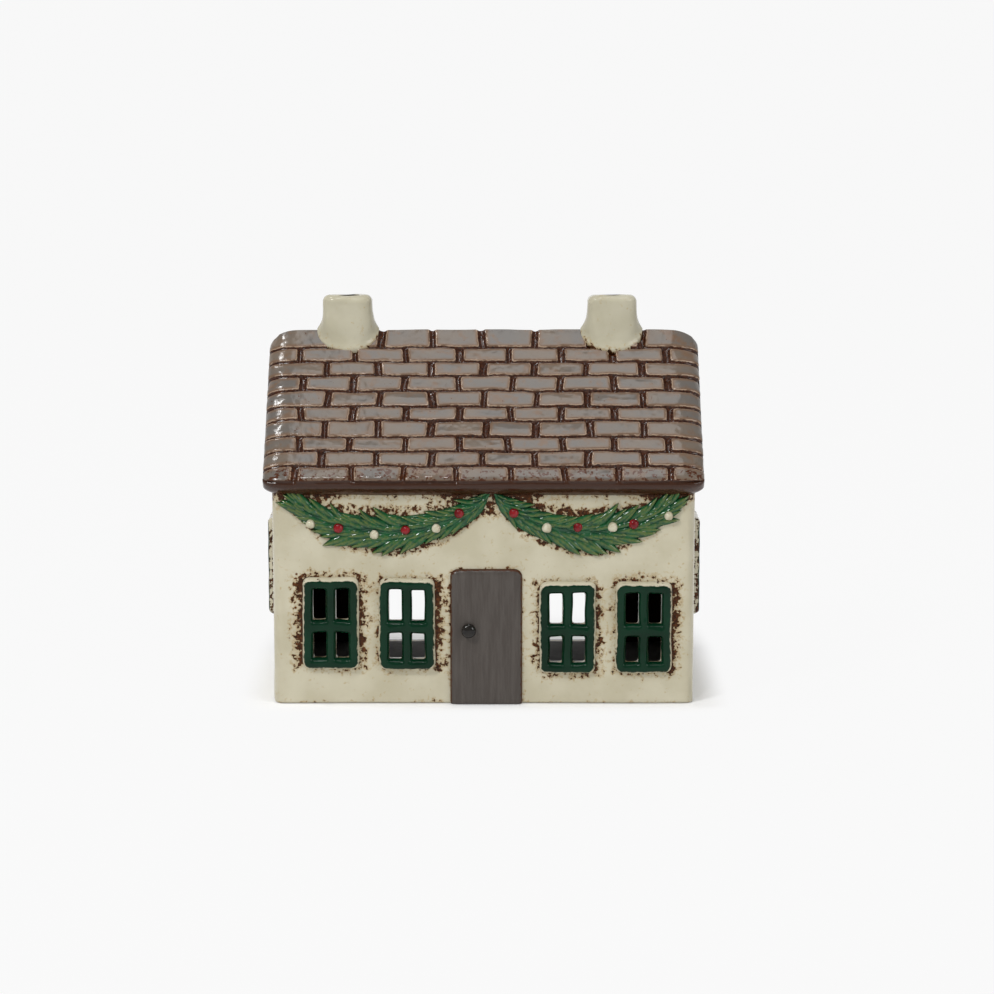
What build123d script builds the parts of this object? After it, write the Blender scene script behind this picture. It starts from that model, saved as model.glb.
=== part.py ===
from build123d import *
from collections import namedtuple
from math import asin, atan2, cos, pi, radians, sin, sqrt, tan
import os

# Tealight house: a slab-built stoneware cottage with a tiled saddle roof, two chimneys, pierced
# windows, an evergreen garland under the eave and a wide arch in the back for a loose tealight.
# Frame: X to the right, Y to the back, Z up, origin under the middle of the house. Millimetres.

# Walls and floor
WALL_DEPTH = 80.0
WALL_HEIGHT = 76.5
WALL_THICKNESS = 5.5
WALL_CORNER_RADIUS = 3.0
FLOOR_THICKNESS = 5.0

# Arch in the back wall, from the top of the floor
ARCH_WIDTH = 82.0
ARCH_SIDE_HEIGHT = 27.0
ARCH_RISE = 21.0

# Roof slabs and their tiles
ROOF_LENGTH = 150.0
ROOF_PITCH = 45.0
SLAB_THICKNESS = 4.8
VERGE_OVERHANG = 2.75
EAVE_OVERHANG = 6.5
EAVE_RADIUS = 2.2
VERGE_CHAMFER = 1.2
TILE_COURSES = 10
TILE_LENGTH = 18.1
TILE_JOINT = 2.4
COURSE_JOINT = 1.4
TILE_RELIEF = 1.2
TILE_DRAFT = 28.0
TILE_EAVE_MARGIN = 1.4

# Chimneys astride the ridge, placed at shares of the roof's length from its middle
CHIMNEY_PLACES = (-0.317, 0.298)
CHIMNEY_WIDTH = 18.2
CHIMNEY_DEPTH = 12.2
CHIMNEY_RISE = 12.4
CHIMNEY_DRAFT = 2.5
CHIMNEY_CORNER_CHAMFER = 2.2
CHIMNEY_TOP_CHAMFER = 1.5
CHIMNEY_SEAT_CLEARANCE = 0.25
FLUE_DIAMETER = 8.0

# Windows: two panes over two, pierced through the frame and the wall
# A front window's place is a share of the wall's length from its middle, and the height of its middle
Window = namedtuple("Window", "width height relief pane_width lower_pane upper_pane bottom_rail")
FRONT_WINDOW = Window(
    width=19.4, height=32.0, relief=2.6, pane_width=4.4, lower_pane=9.4, upper_pane=10.6, bottom_rail=4.2
)
GABLE_WINDOW = Window(
    width=21.0, height=35.0, relief=3.8, pane_width=5.0, lower_pane=10.2, upper_pane=11.6, bottom_rail=5.4
)
FRONT_WINDOW_PLACES = ((-0.362, 28.5), (-0.182, 28.2), (0.1986, 27.0), (0.3792, 27.0))
GABLE_WINDOW_HEIGHT = 42.0
MULLION_WIDTH = 3.0
TRANSOM_WIDTH = 4.0
FRAME_CORNER_RADIUS = 2.4
FRAME_EDGE_CHAMFER = 0.9

# Front door and its knob
DOOR_WIDTH = 24.8
DOOR_HEIGHT = 47.4
DOOR_OFFSET = 0.9
DOOR_RELIEF = 1.7
DOOR_CORNER_RADIUS = 2.8
DOOR_EDGE_CHAMFER = 0.6
KNOB_FROM_DOOR_EDGE = 6.4
KNOB_HEIGHT = 26.3
KNOB_DIAMETER = 5.0
KNOB_LENGTH = 2.8
KNOB_NECK_DIAMETER = 3.4
KNOB_NECK_LENGTH = 0.6
KNOB_FRONT_CHAMFER = 1.0

# Garland: two swags of crested leaves that hang below the eave and meet over the door
SWAG_MEETING_X = 2.8
SWAG_MEETING_GAP = 1.8
SWAG_END_MARGIN = 6.0
SWAG_DROP = 6.6
SWAG_SAG = 9.6
STEM_WIDTH = 5.2
STEM_RELIEF = 1.5
LEAF_SPACING = 4.5
LEAF_LENGTH = 13.5
LEAF_WIDTH = 4.2
LEAF_SHOULDER = 5.4
LEAF_SPREAD = 29.0
UPPER_LEAF_RELIEF = 2.2
LOWER_LEAF_RELIEF = 2.5
LEAF_END_SCALE = 0.45
LAST_LEAF_BASE = 0.87

# Berries, each a bevelled ten-sided button in a seat of the garland
# A berry's place is a share of the way along its swag, and its distance above the stem's middle
BERRY_DIAMETER = 3.3
BERRY_SIDES = 10
BERRY_HEIGHT = 2.6
BERRY_SEAT_DEPTH = 0.9
BERRY_SEAT_RIM = 0.7
BERRY_CLEARANCE = 0.12
BERRY_BEVEL = 0.9
LEFT_RED_BERRIES = ((0.737, -0.7), (0.414, 0.6), (0.138, 1.7))
LEFT_WHITE_BERRIES = ((0.867, -2.5), (0.564, -0.9), (0.267, -0.7))
RIGHT_RED_BERRIES = ((0.098, 0.5), (0.447, 1.7), (0.745, 0.6))
RIGHT_WHITE_BERRIES = ((0.286, -0.2), (0.633, 1.2), (0.927, -1.5))

# Loose tealight that stands on the floor
CUP_DIAMETER = 38.0
CUP_HEIGHT = 16.0
CUP_WALL = 0.4
CUP_RIM_WIDTH = 0.5
WAX_DEPTH = 12.5
WAX_CLEARANCE = 0.1
SUSTAINER_DIAMETER = 14.0
SUSTAINER_THICKNESS = 0.4
SUSTAINER_NECK_DIAMETER = 3.2
SUSTAINER_NECK_HEIGHT = 4.0
WICK_DIAMETER = 1.8
WICK_CLEARANCE = 0.05
WICK_ABOVE_WAX = 7.0

# Worked out from the sizes above
PITCH = radians(ROOF_PITCH)
WALL_LENGTH = ROOF_LENGTH - 2 * VERGE_OVERHANG
HALF_LENGTH = WALL_LENGTH / 2
HALF_DEPTH = WALL_DEPTH / 2
INNER_HALF_LENGTH = HALF_LENGTH - WALL_THICKNESS
INNER_HALF_DEPTH = HALF_DEPTH - WALL_THICKNESS
UNDERSIDE_APEX = WALL_HEIGHT + HALF_DEPTH * tan(PITCH)
SLAB_APEX = UNDERSIDE_APEX + SLAB_THICKNESS / cos(PITCH)
RIDGE_HEIGHT = SLAB_APEX + TILE_RELIEF / cos(PITCH)
EAVE_REACH = HALF_DEPTH + EAVE_OVERHANG
SLOPE_LENGTH = EAVE_REACH / cos(PITCH)
CHIMNEY_X = [share * ROOF_LENGTH for share in CHIMNEY_PLACES]
FRONT_WINDOW_CENTRES = [(share * WALL_LENGTH, height) for share, height in FRONT_WINDOW_PLACES]
SWAG_HANG = WALL_HEIGHT - SWAG_DROP
BERRY_RADIUS = BERRY_DIAMETER / 2

# Outer faces of the walls: each has X along the wall, Y up and Z out of the house
FRONT_FACE = Plane((0, -HALF_DEPTH, 0), x_dir=(1, 0, 0), z_dir=(0, -1, 0))
LEFT_FACE = Plane((-HALF_LENGTH, 0, 0), x_dir=(0, -1, 0), z_dir=(-1, 0, 0))
RIGHT_FACE = Plane((HALF_LENGTH, 0, 0), x_dir=(0, 1, 0), z_dir=(1, 0, 0))
BACK_FACE = Plane((0, HALF_DEPTH, 0), x_dir=(-1, 0, 0), z_dir=(0, 1, 0))

FRONT = -1
BACK = 1
LEFT = -1
RIGHT = 1

os.makedirs("parts", exist_ok=True)


def save(piece, name):
    """Label a finished piece and write its STEP file."""
    piece.part.label = name
    export_step(piece.part, f"parts/{name}.step")


def underside(y):
    """Height of the roof's underside above a point at depth y."""
    return UNDERSIDE_APEX - abs(y) * tan(PITCH)


def draw_panes(window, centre, height, mode):
    """Add or cut a window's four panes in the open sketch; lower and upper pairs differ in height."""
    lower_base = height - window.height / 2 + window.bottom_rail
    upper_base = lower_base + window.lower_pane + TRANSOM_WIDTH
    reach = (window.pane_width + MULLION_WIDTH) / 2
    for base, tall in ((lower_base, window.lower_pane), (upper_base, window.upper_pane)):
        with Locations((centre - reach, base + tall / 2), (centre + reach, base + tall / 2)):
            Rectangle(window.pane_width, tall, mode=mode)


# Floor slab, set inside the walls
with BuildPart() as floor_slab:
    with BuildSketch(Plane.XY):
        Rectangle(2 * INNER_HALF_LENGTH, 2 * INNER_HALF_DEPTH)
    extrude(amount=FLOOR_THICKNESS)
save(floor_slab, "floor_slab")


def long_wall(side):
    """A front or back wall with a top bevelled to the roof's underside and soft outer corners."""
    outer = side * HALF_DEPTH
    inner = side * INNER_HALF_DEPTH
    with BuildPart() as wall:
        with BuildSketch(Plane.YZ):
            with BuildLine():
                Polyline(
                    (outer, 0),
                    (outer, WALL_HEIGHT),
                    (inner, underside(inner)),
                    (inner, 0),
                    close=True,
                )
            make_face()
        extrude(amount=HALF_LENGTH, both=True)
        upright = wall.edges().filter_by(Axis.Z).group_by(Axis.Y)
        fillet(upright[0 if side == FRONT else -1], radius=WALL_CORNER_RADIUS)
    return wall.part


# Front wall, pierced by the panes of its four windows
with BuildPart() as front_wall:
    add(long_wall(FRONT))
    with BuildSketch(FRONT_FACE):
        for x, z in FRONT_WINDOW_CENTRES:
            draw_panes(FRONT_WINDOW, x, z, Mode.ADD)
    extrude(amount=-WALL_THICKNESS, mode=Mode.SUBTRACT)
save(front_wall, "front_wall")

# Back wall with the wide arch that the tealight goes in through
with BuildPart() as back_wall:
    add(long_wall(BACK))
    spring = FLOOR_THICKNESS + ARCH_SIDE_HEIGHT
    with BuildSketch(BACK_FACE):
        with BuildLine():
            Polyline(
                (-ARCH_WIDTH / 2, spring),
                (-ARCH_WIDTH / 2, FLOOR_THICKNESS),
                (ARCH_WIDTH / 2, FLOOR_THICKNESS),
                (ARCH_WIDTH / 2, spring),
            )
            EllipticalCenterArc((0, spring), ARCH_WIDTH / 2, ARCH_RISE, start_angle=0, arc_size=180)
        make_face()
    extrude(amount=-WALL_THICKNESS, mode=Mode.SUBTRACT)
save(back_wall, "back_wall")


def gable_wall(face):
    """An end wall between the long walls, up to the ridge, pierced by its window's panes."""
    with BuildPart() as wall:
        with BuildSketch(face):
            with BuildLine():
                Polyline(
                    (-INNER_HALF_DEPTH, 0),
                    (INNER_HALF_DEPTH, 0),
                    (INNER_HALF_DEPTH, underside(INNER_HALF_DEPTH)),
                    (0, UNDERSIDE_APEX),
                    (-INNER_HALF_DEPTH, underside(INNER_HALF_DEPTH)),
                    close=True,
                )
            make_face()
            draw_panes(GABLE_WINDOW, 0, GABLE_WINDOW_HEIGHT, Mode.SUBTRACT)
        extrude(amount=-WALL_THICKNESS)
    return wall


save(gable_wall(LEFT_FACE), "left_gable_wall")
save(gable_wall(RIGHT_FACE), "right_gable_wall")


def draw_tiles():
    """Tile pads of one slope in the open sketch: running bond, half a tile on at each course."""
    course = (SLOPE_LENGTH - TILE_EAVE_MARGIN) / TILE_COURSES
    over_ridge = TILE_RELIEF * (tan(PITCH) + tan(radians(TILE_DRAFT)))
    half = ROOF_LENGTH / 2 - VERGE_CHAMFER
    count = int(ROOF_LENGTH / TILE_LENGTH) + 2
    for row in range(TILE_COURSES):
        top = over_ridge if row == 0 else -row * course - COURSE_JOINT / 2
        bottom = -(row + 1) * course + COURSE_JOINT / 2
        shift = TILE_LENGTH / 2 * (row % 2)
        for k in range(-count, count):
            left = max(k * TILE_LENGTH + shift + TILE_JOINT / 2, -half)
            right = min((k + 1) * TILE_LENGTH + shift - TILE_JOINT / 2, half)
            if right - left > TILE_JOINT:
                with Locations(((left + right) / 2, (top + bottom) / 2)):
                    Rectangle(right - left, top - bottom)


def chimney_foot(top_size):
    """Width or depth of a chimney where it meets the roof lowest, from its size at the top."""
    drop = CHIMNEY_RISE + RIDGE_HEIGHT - SLAB_APEX + CHIMNEY_DEPTH
    return top_size + 2 * drop * tan(radians(CHIMNEY_DRAFT))


def roof_slope(side):
    """One slab of the saddle roof: rounded eave, tile pads, chimney seats and half of each flue."""
    slope = Plane((0, 0, SLAB_APEX), x_dir=(-side, 0, 0), z_dir=(0, side * sin(PITCH), cos(PITCH)))
    eave = SLAB_APEX - EAVE_REACH * tan(PITCH)
    with BuildPart() as slab:
        with BuildSketch(Plane.YZ):
            with BuildLine():
                Polyline(
                    (0, UNDERSIDE_APEX),
                    (0, SLAB_APEX),
                    (side * EAVE_REACH, eave),
                    (side * (EAVE_REACH - SLAB_THICKNESS * sin(PITCH)), eave - SLAB_THICKNESS * cos(PITCH)),
                    close=True,
                )
            make_face()
        extrude(amount=ROOF_LENGTH / 2, both=True)
        top_face = slab.faces().sort_by(Axis(slope.origin, slope.z_dir))[-1]
        chamfer(top_face.edges().filter_by(Axis.X, reverse=True), length=VERGE_CHAMFER)
        fillet(slab.edges().filter_by(Axis.X).sort_by(Axis.Z)[:2], radius=EAVE_RADIUS)
        with BuildSketch(slope):
            draw_tiles()
        extrude(amount=TILE_RELIEF, taper=TILE_DRAFT)
        split(bisect_by=Plane.XZ, keep=Keep.TOP if side == FRONT else Keep.BOTTOM)
        seat_width = chimney_foot(CHIMNEY_WIDTH) + 2 * CHIMNEY_SEAT_CLEARANCE
        seat_reach = (chimney_foot(CHIMNEY_DEPTH) / 2 + CHIMNEY_SEAT_CLEARANCE) / cos(PITCH)
        over_ridge = TILE_RELIEF * tan(PITCH)
        with BuildSketch(slope):
            for x in CHIMNEY_X:
                with Locations((-side * x, (over_ridge - seat_reach) / 2)):
                    Rectangle(seat_width, over_ridge + seat_reach)
        extrude(amount=TILE_RELIEF, mode=Mode.SUBTRACT)
        flue_cut = 2 * (RIDGE_HEIGHT - UNDERSIDE_APEX + FLUE_DIAMETER)
        with Locations(*[(x, 0, SLAB_APEX) for x in CHIMNEY_X]):
            Cylinder(FLUE_DIAMETER / 2, flue_cut, mode=Mode.SUBTRACT)
    return slab


save(roof_slope(FRONT), "front_roof_slope")
save(roof_slope(BACK), "rear_roof_slope")


def chimney(x):
    """A tapered block with bevelled corners, cut underneath to the roof slabs and bored for its flue."""
    top = RIDGE_HEIGHT + CHIMNEY_RISE
    tall = top - SLAB_APEX + CHIMNEY_DEPTH
    wedge = 2 * CHIMNEY_DEPTH
    with BuildPart() as stack:
        with BuildSketch(Plane((x, 0, top))) as outline:
            Rectangle(CHIMNEY_WIDTH, CHIMNEY_DEPTH)
            chamfer(outline.vertices(), length=CHIMNEY_CORNER_CHAMFER)
        extrude(amount=-tall, taper=-CHIMNEY_DRAFT)
        chamfer(stack.faces().sort_by(Axis.Z)[-1].edges(), length=CHIMNEY_TOP_CHAMFER)
        with BuildSketch(Plane.YZ.offset(x)):
            with BuildLine():
                Polyline(
                    (0, SLAB_APEX),
                    (-wedge, SLAB_APEX - wedge * tan(PITCH)),
                    (wedge, SLAB_APEX - wedge * tan(PITCH)),
                    close=True,
                )
            make_face()
        extrude(amount=CHIMNEY_WIDTH, both=True, mode=Mode.SUBTRACT)
        with Locations((x, 0, SLAB_APEX)):
            Cylinder(FLUE_DIAMETER / 2, 2 * (tall + FLUE_DIAMETER), mode=Mode.SUBTRACT)
    return stack


save(chimney(CHIMNEY_X[0]), "left_chimney")
save(chimney(CHIMNEY_X[1]), "right_chimney")


def window_frame(face, window, centre, height):
    """A raised frame with a bevelled outer edge and four panes, luted to a wall."""
    with BuildPart() as frame:
        with BuildSketch(face):
            with Locations((centre, height)):
                RectangleRounded(window.width, window.height, FRAME_CORNER_RADIUS)
            draw_panes(window, centre, height, Mode.SUBTRACT)
        extrude(amount=window.relief)
        outside = frame.faces().sort_by(Axis(face.origin, face.z_dir))[-1]
        chamfer(outside.outer_wire().edges(), length=FRAME_EDGE_CHAMFER)
    return frame


for number, (x, z) in enumerate(FRONT_WINDOW_CENTRES, start=1):
    save(window_frame(FRONT_FACE, FRONT_WINDOW, x, z), f"window_frame_{number}")
save(window_frame(LEFT_FACE, GABLE_WINDOW, 0, GABLE_WINDOW_HEIGHT), "left_gable_window")
save(window_frame(RIGHT_FACE, GABLE_WINDOW, 0, GABLE_WINDOW_HEIGHT), "right_gable_window")

# Front door, a raised panel that stands on the ground line
with BuildPart() as front_door:
    with BuildSketch(FRONT_FACE) as door_outline:
        with Locations((DOOR_OFFSET, DOOR_HEIGHT / 2)):
            Rectangle(DOOR_WIDTH, DOOR_HEIGHT)
        fillet(door_outline.vertices().group_by(Axis.Y)[-1], radius=DOOR_CORNER_RADIUS)
    extrude(amount=DOOR_RELIEF)
    door_front = front_door.faces().sort_by(Axis.Y)[0]
    chamfer(door_front.edges().group_by(Axis.Z)[1:], length=DOOR_EDGE_CHAMFER)
save(front_door, "front_door")

# Door knob, turned about an axis that points out of the door
KNOB_PLANE = Plane(
    FRONT_FACE.offset(DOOR_RELIEF).from_local_coords(
        (DOOR_OFFSET - DOOR_WIDTH / 2 + KNOB_FROM_DOOR_EDGE, KNOB_HEIGHT, 0)
    ),
    x_dir=(1, 0, 0),
    z_dir=(0, 0, 1),
)
with BuildPart() as door_knob:
    knob_radius = KNOB_DIAMETER / 2
    neck_radius = KNOB_NECK_DIAMETER / 2
    with BuildSketch(KNOB_PLANE):
        with BuildLine():
            Polyline(
                (0, 0),
                (neck_radius, 0),
                (neck_radius, -KNOB_NECK_LENGTH),
                (knob_radius, -KNOB_NECK_LENGTH - knob_radius + neck_radius),
                (knob_radius, KNOB_FRONT_CHAMFER - KNOB_LENGTH),
                (knob_radius - KNOB_FRONT_CHAMFER, -KNOB_LENGTH),
                (0, -KNOB_LENGTH),
                close=True,
            )
        make_face()
    revolve(axis=Axis(KNOB_PLANE.origin, (0, 1, 0)))
save(door_knob, "door_knob")


def swag_ends(direction):
    """X of a swag's start at the meeting and of its end near the corner of the wall."""
    return SWAG_MEETING_X + direction * SWAG_MEETING_GAP, direction * (HALF_LENGTH - SWAG_END_MARGIN)


def swag_point(direction, t):
    """Point and outward angle on a swag's stem: a circular arc from the meeting (t 0) to its end (t 1)."""
    start, end = swag_ends(direction)
    half = abs(end - start) / 2
    radius = (half**2 + SWAG_SAG**2) / (2 * SWAG_SAG)
    angle = direction * asin(half / radius) * (2 * t - 1)
    x = (start + end) / 2 + radius * sin(angle)
    z = SWAG_HANG - SWAG_SAG + radius * (1 - cos(angle))
    return x, z, atan2(direction * sin(angle), direction * cos(angle))


def leaf(x, z, angle, scale, relief):
    """A pointed leaf with a crest at its shoulder, on the front wall: base at x, z and tip along the angle."""
    place = Plane(
        FRONT_FACE.from_local_coords((x, z, 0)),
        x_dir=(cos(angle), 0, sin(angle)),
        z_dir=FRONT_FACE.z_dir,
    )
    half_width = LEAF_WIDTH / 2
    corners = ((0, 0), (LEAF_SHOULDER, -half_width), (LEAF_LENGTH, 0), (LEAF_SHOULDER, half_width))
    outline = [place.from_local_coords((scale * along, scale * across, 0)) for along, across in corners]
    crest = place.from_local_coords((scale * LEAF_SHOULDER, 0, scale * relief))
    sides = [Face(Wire.make_polygon((a, b, crest))) for a, b in zip(outline, outline[1:] + outline[:1])]
    return Solid(Shell([Face(Wire.make_polygon(outline)), *sides]))


def berry_points(direction, places):
    """Places of a swag's berries on the front wall's face, along it and up it."""
    points = []
    for t, above in places:
        x, z, angle = swag_point(direction, t)
        points.append((x - direction * above * sin(angle), z + direction * above * cos(angle)))
    return points


def garland(direction, berries):
    """One swag: a stem along an arc, leaves in pairs that point outwards, and flat seats for berries."""
    start, end = swag_ends(direction)
    steps = round(LAST_LEAF_BASE * abs(end - start) / LEAF_SPACING)
    bases = [LAST_LEAF_BASE * k / steps for k in range(steps + 1)]
    first, middle, last = (swag_point(direction, LAST_LEAF_BASE * t)[:2] for t in (0.0, 0.5, 1.0))
    with BuildPart() as swag:
        with BuildSketch(FRONT_FACE):
            with BuildLine():
                ThreePointArc(first, middle, last)
            trace(line_width=STEM_WIDTH)
        extrude(amount=STEM_RELIEF)
        for spread, relief in ((LEAF_SPREAD, UPPER_LEAF_RELIEF), (-LEAF_SPREAD, LOWER_LEAF_RELIEF)):
            for t in bases:
                x, z, angle = swag_point(direction, t)
                scale = LEAF_END_SCALE + (1 - LEAF_END_SCALE) * sqrt(sin(pi * t))
                add(leaf(x, z, angle + direction * radians(spread), scale, relief))
        with BuildSketch(FRONT_FACE):
            with Locations(*berry_points(direction, berries)):
                RegularPolygon(BERRY_RADIUS + BERRY_CLEARANCE + BERRY_SEAT_RIM, BERRY_SIDES)
        extrude(amount=STEM_RELIEF)
        with BuildSketch(FRONT_FACE.offset(BERRY_SEAT_DEPTH)):
            with Locations(*berry_points(direction, berries)):
                RegularPolygon(BERRY_RADIUS + BERRY_CLEARANCE, BERRY_SIDES)
        extrude(amount=BERRY_HEIGHT, mode=Mode.SUBTRACT)
    return swag


save(garland(LEFT, LEFT_RED_BERRIES + LEFT_WHITE_BERRIES), "left_garland")
save(garland(RIGHT, RIGHT_RED_BERRIES + RIGHT_WHITE_BERRIES), "right_garland")


def berry_group(left_places, right_places):
    """Bevelled buttons that stand in both swags' seats, one solid each."""
    points = berry_points(LEFT, left_places) + berry_points(RIGHT, right_places)
    with BuildPart() as berries:
        with BuildSketch(FRONT_FACE.offset(BERRY_SEAT_DEPTH)):
            with Locations(*points):
                RegularPolygon(BERRY_RADIUS, BERRY_SIDES)
        extrude(amount=BERRY_HEIGHT)
        crowns = berries.faces().sort_by(Axis.Y)[: len(points)]
        chamfer(crowns.edges(), length=BERRY_BEVEL)
    return berries


save(berry_group(LEFT_RED_BERRIES, RIGHT_RED_BERRIES), "red_berries")
save(berry_group(LEFT_WHITE_BERRIES, RIGHT_WHITE_BERRIES), "white_berries")

# Tealight: every piece is turned about the Z axis, from the top of the floor upwards
CUP_RADIUS = CUP_DIAMETER / 2
CUP_FLOOR = FLOOR_THICKNESS + CUP_WALL
CUP_TOP = FLOOR_THICKNESS + CUP_HEIGHT
WAX_TOP = CUP_FLOOR + WAX_DEPTH
WICK_RADIUS = WICK_DIAMETER / 2
NECK_RADIUS = SUSTAINER_NECK_DIAMETER / 2
NECK_TOP = CUP_FLOOR + SUSTAINER_THICKNESS + SUSTAINER_NECK_HEIGHT

# Thin drawn cup with a rim turned outwards
with BuildPart() as tealight_cup:
    with BuildSketch(Plane.XZ):
        with Locations((CUP_RADIUS / 2, FLOOR_THICKNESS + CUP_HEIGHT / 2)):
            Rectangle(CUP_RADIUS, CUP_HEIGHT)
        with Locations((CUP_RADIUS + CUP_RIM_WIDTH / 2, CUP_TOP - CUP_WALL / 2)):
            Rectangle(CUP_RIM_WIDTH, CUP_WALL)
        with Locations(((CUP_RADIUS - CUP_WALL) / 2, CUP_FLOOR + CUP_HEIGHT / 2)):
            Rectangle(CUP_RADIUS - CUP_WALL, CUP_HEIGHT, mode=Mode.SUBTRACT)
    revolve(axis=Axis.Z)
save(tealight_cup, "tealight_cup")

# Stamped disc with a neck that holds the wick upright
with BuildPart() as wick_sustainer:
    with BuildSketch(Plane.XY.offset(CUP_FLOOR)):
        Circle(SUSTAINER_DIAMETER / 2)
    extrude(amount=SUSTAINER_THICKNESS)
    with BuildSketch(Plane.XY.offset(CUP_FLOOR + SUSTAINER_THICKNESS)):
        Circle(NECK_RADIUS)
    extrude(amount=SUSTAINER_NECK_HEIGHT)
    with BuildSketch(Plane.XY.offset(CUP_FLOOR + SUSTAINER_THICKNESS)):
        Circle(WICK_RADIUS + WICK_CLEARANCE)
    extrude(amount=SUSTAINER_NECK_HEIGHT, mode=Mode.SUBTRACT)
save(wick_sustainer, "wick_sustainer")

# Braided wick, from the sustainer's disc to above the wax
with BuildPart() as tealight_wick:
    with BuildSketch(Plane.XY.offset(CUP_FLOOR + SUSTAINER_THICKNESS)):
        Circle(WICK_RADIUS)
    extrude(amount=WAX_DEPTH - SUSTAINER_THICKNESS + WICK_ABOVE_WAX)
save(tealight_wick, "tealight_wick")

# Wax cast round the sustainer and the wick
with BuildPart() as tealight_wax:
    with BuildSketch(Plane.XY.offset(CUP_FLOOR)):
        Circle(CUP_RADIUS - CUP_WALL - WAX_CLEARANCE)
    extrude(amount=WAX_DEPTH)
    with BuildSketch(Plane.XY.offset(CUP_FLOOR)):
        Circle(SUSTAINER_DIAMETER / 2 + WAX_CLEARANCE)
    extrude(amount=SUSTAINER_THICKNESS + WAX_CLEARANCE, mode=Mode.SUBTRACT)
    with BuildSketch(Plane.XY.offset(CUP_FLOOR)):
        Circle(NECK_RADIUS + WAX_CLEARANCE)
    extrude(amount=NECK_TOP - CUP_FLOOR + WAX_CLEARANCE, mode=Mode.SUBTRACT)
    with BuildSketch(Plane.XY.offset(CUP_FLOOR)):
        Circle(WICK_RADIUS + WICK_CLEARANCE)
    extrude(amount=WAX_DEPTH, mode=Mode.SUBTRACT)
save(tealight_wax, "tealight_wax")
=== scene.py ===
# %% [markdown]
# # Tealight house
# A small stoneware cottage, built from slabs of clay and glazed. The CAD frame gives every piece its place
# and size. This lesson gives each piece its hand-made surface: a soft shape worked out with numpy, and a
# glaze made of shader nodes. All shapes are written in millimetres and become metres in one place.

# %% Load the frame
import bpy
import numpy as np
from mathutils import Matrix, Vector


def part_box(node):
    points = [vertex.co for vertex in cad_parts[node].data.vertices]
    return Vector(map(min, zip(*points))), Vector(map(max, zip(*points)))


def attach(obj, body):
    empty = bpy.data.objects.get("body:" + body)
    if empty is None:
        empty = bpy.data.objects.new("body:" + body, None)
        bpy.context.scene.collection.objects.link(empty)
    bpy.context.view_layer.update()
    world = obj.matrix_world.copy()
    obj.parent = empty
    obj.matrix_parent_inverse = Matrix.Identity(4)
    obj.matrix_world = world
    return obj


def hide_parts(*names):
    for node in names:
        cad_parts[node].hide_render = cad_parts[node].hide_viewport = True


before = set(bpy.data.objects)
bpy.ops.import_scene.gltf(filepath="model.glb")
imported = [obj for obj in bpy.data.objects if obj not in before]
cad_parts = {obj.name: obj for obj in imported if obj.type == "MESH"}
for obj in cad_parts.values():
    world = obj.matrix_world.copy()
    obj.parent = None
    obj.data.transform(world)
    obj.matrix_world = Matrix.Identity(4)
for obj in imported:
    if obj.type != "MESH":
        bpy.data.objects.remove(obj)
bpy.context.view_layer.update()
MM = 0.001


def box_mm(node):
    """Lowest and highest corner of a CAD node, in millimetres."""
    low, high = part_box(node)
    return np.array(low) / MM, np.array(high) / MM


wall_low, wall_high = box_mm("front_wall")
HALF_LENGTH = wall_high[0]
FRONT_FACE = wall_low[1]
FRONT_INSIDE = wall_high[1]
WALL_TOP = 76.5
print("front wall from", wall_low.round(1), "to", wall_high.round(1))

# %% [markdown]
# ## Camera, backdrop and light
# The photograph is a studio picture on white. The camera stands a metre away and looks down by ten degrees.
# The backdrop is a sheet that runs from the floor up into a wall through a quarter circle, so no corner
# shows. Close to the house it is shaded as it is; further off, camera, glossy and transmission rays see
# almost plain white, with a trace of the real shadow.

# %% Camera
PHOTO_WIDTH = 994
FOCAL_PIXELS = 2986
SENSOR_WIDTH = 36.0
CAMERA_PLACE = (4.58, -1040.0, 248.6)
CAMERA_PITCH = np.radians(80)

camera_data = bpy.data.cameras.new("studio_camera")
camera_data.sensor_width = SENSOR_WIDTH
camera_data.lens = SENSOR_WIDTH * FOCAL_PIXELS / PHOTO_WIDTH
camera = bpy.data.objects.new("studio_camera", camera_data)
camera.location = np.array(CAMERA_PLACE) * MM
camera.rotation_euler = (CAMERA_PITCH, 0, 0)
bpy.context.scene.collection.objects.link(camera)
bpy.context.scene.camera = camera
bpy.context.scene.view_settings.view_transform = "Standard"
print("lens", round(camera_data.lens, 2), "mm")

# %% [markdown]
# ## Helpers for meshes
# Most shapes here are grids: rows of points along one parameter, columns along another. One helper lists the
# grid's four-sided faces, and one turns points and faces into a piece. A closed shell's signed volume tells
# whether its faces point outwards, so the helper can turn them round without asking.

# %% Grid and piece helpers


def grid_faces(rows, columns, wrap=False):
    """Four-sided faces of a grid stored row by row; with wrap, the last column joins the first."""
    row, column = np.meshgrid(np.arange(rows - 1), np.arange(columns if wrap else columns - 1), indexing="ij")
    after = (column + 1) % columns
    corners = [row * columns + column, row * columns + after, (row + 1) * columns + after]
    corners.append((row + 1) * columns + column)
    return np.stack(corners, axis=-1).reshape(-1, 4)


def signed_volume(points, quads):
    """Sum of the volumes from the origin to each face, positive where the faces point outwards."""
    a, b, c, d = (points[quads[:, k]] for k in range(4))
    return (np.einsum("ij,ij->i", a, np.cross(b, c)) + np.einsum("ij,ij->i", a, np.cross(c, d))).sum() / 6


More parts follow.
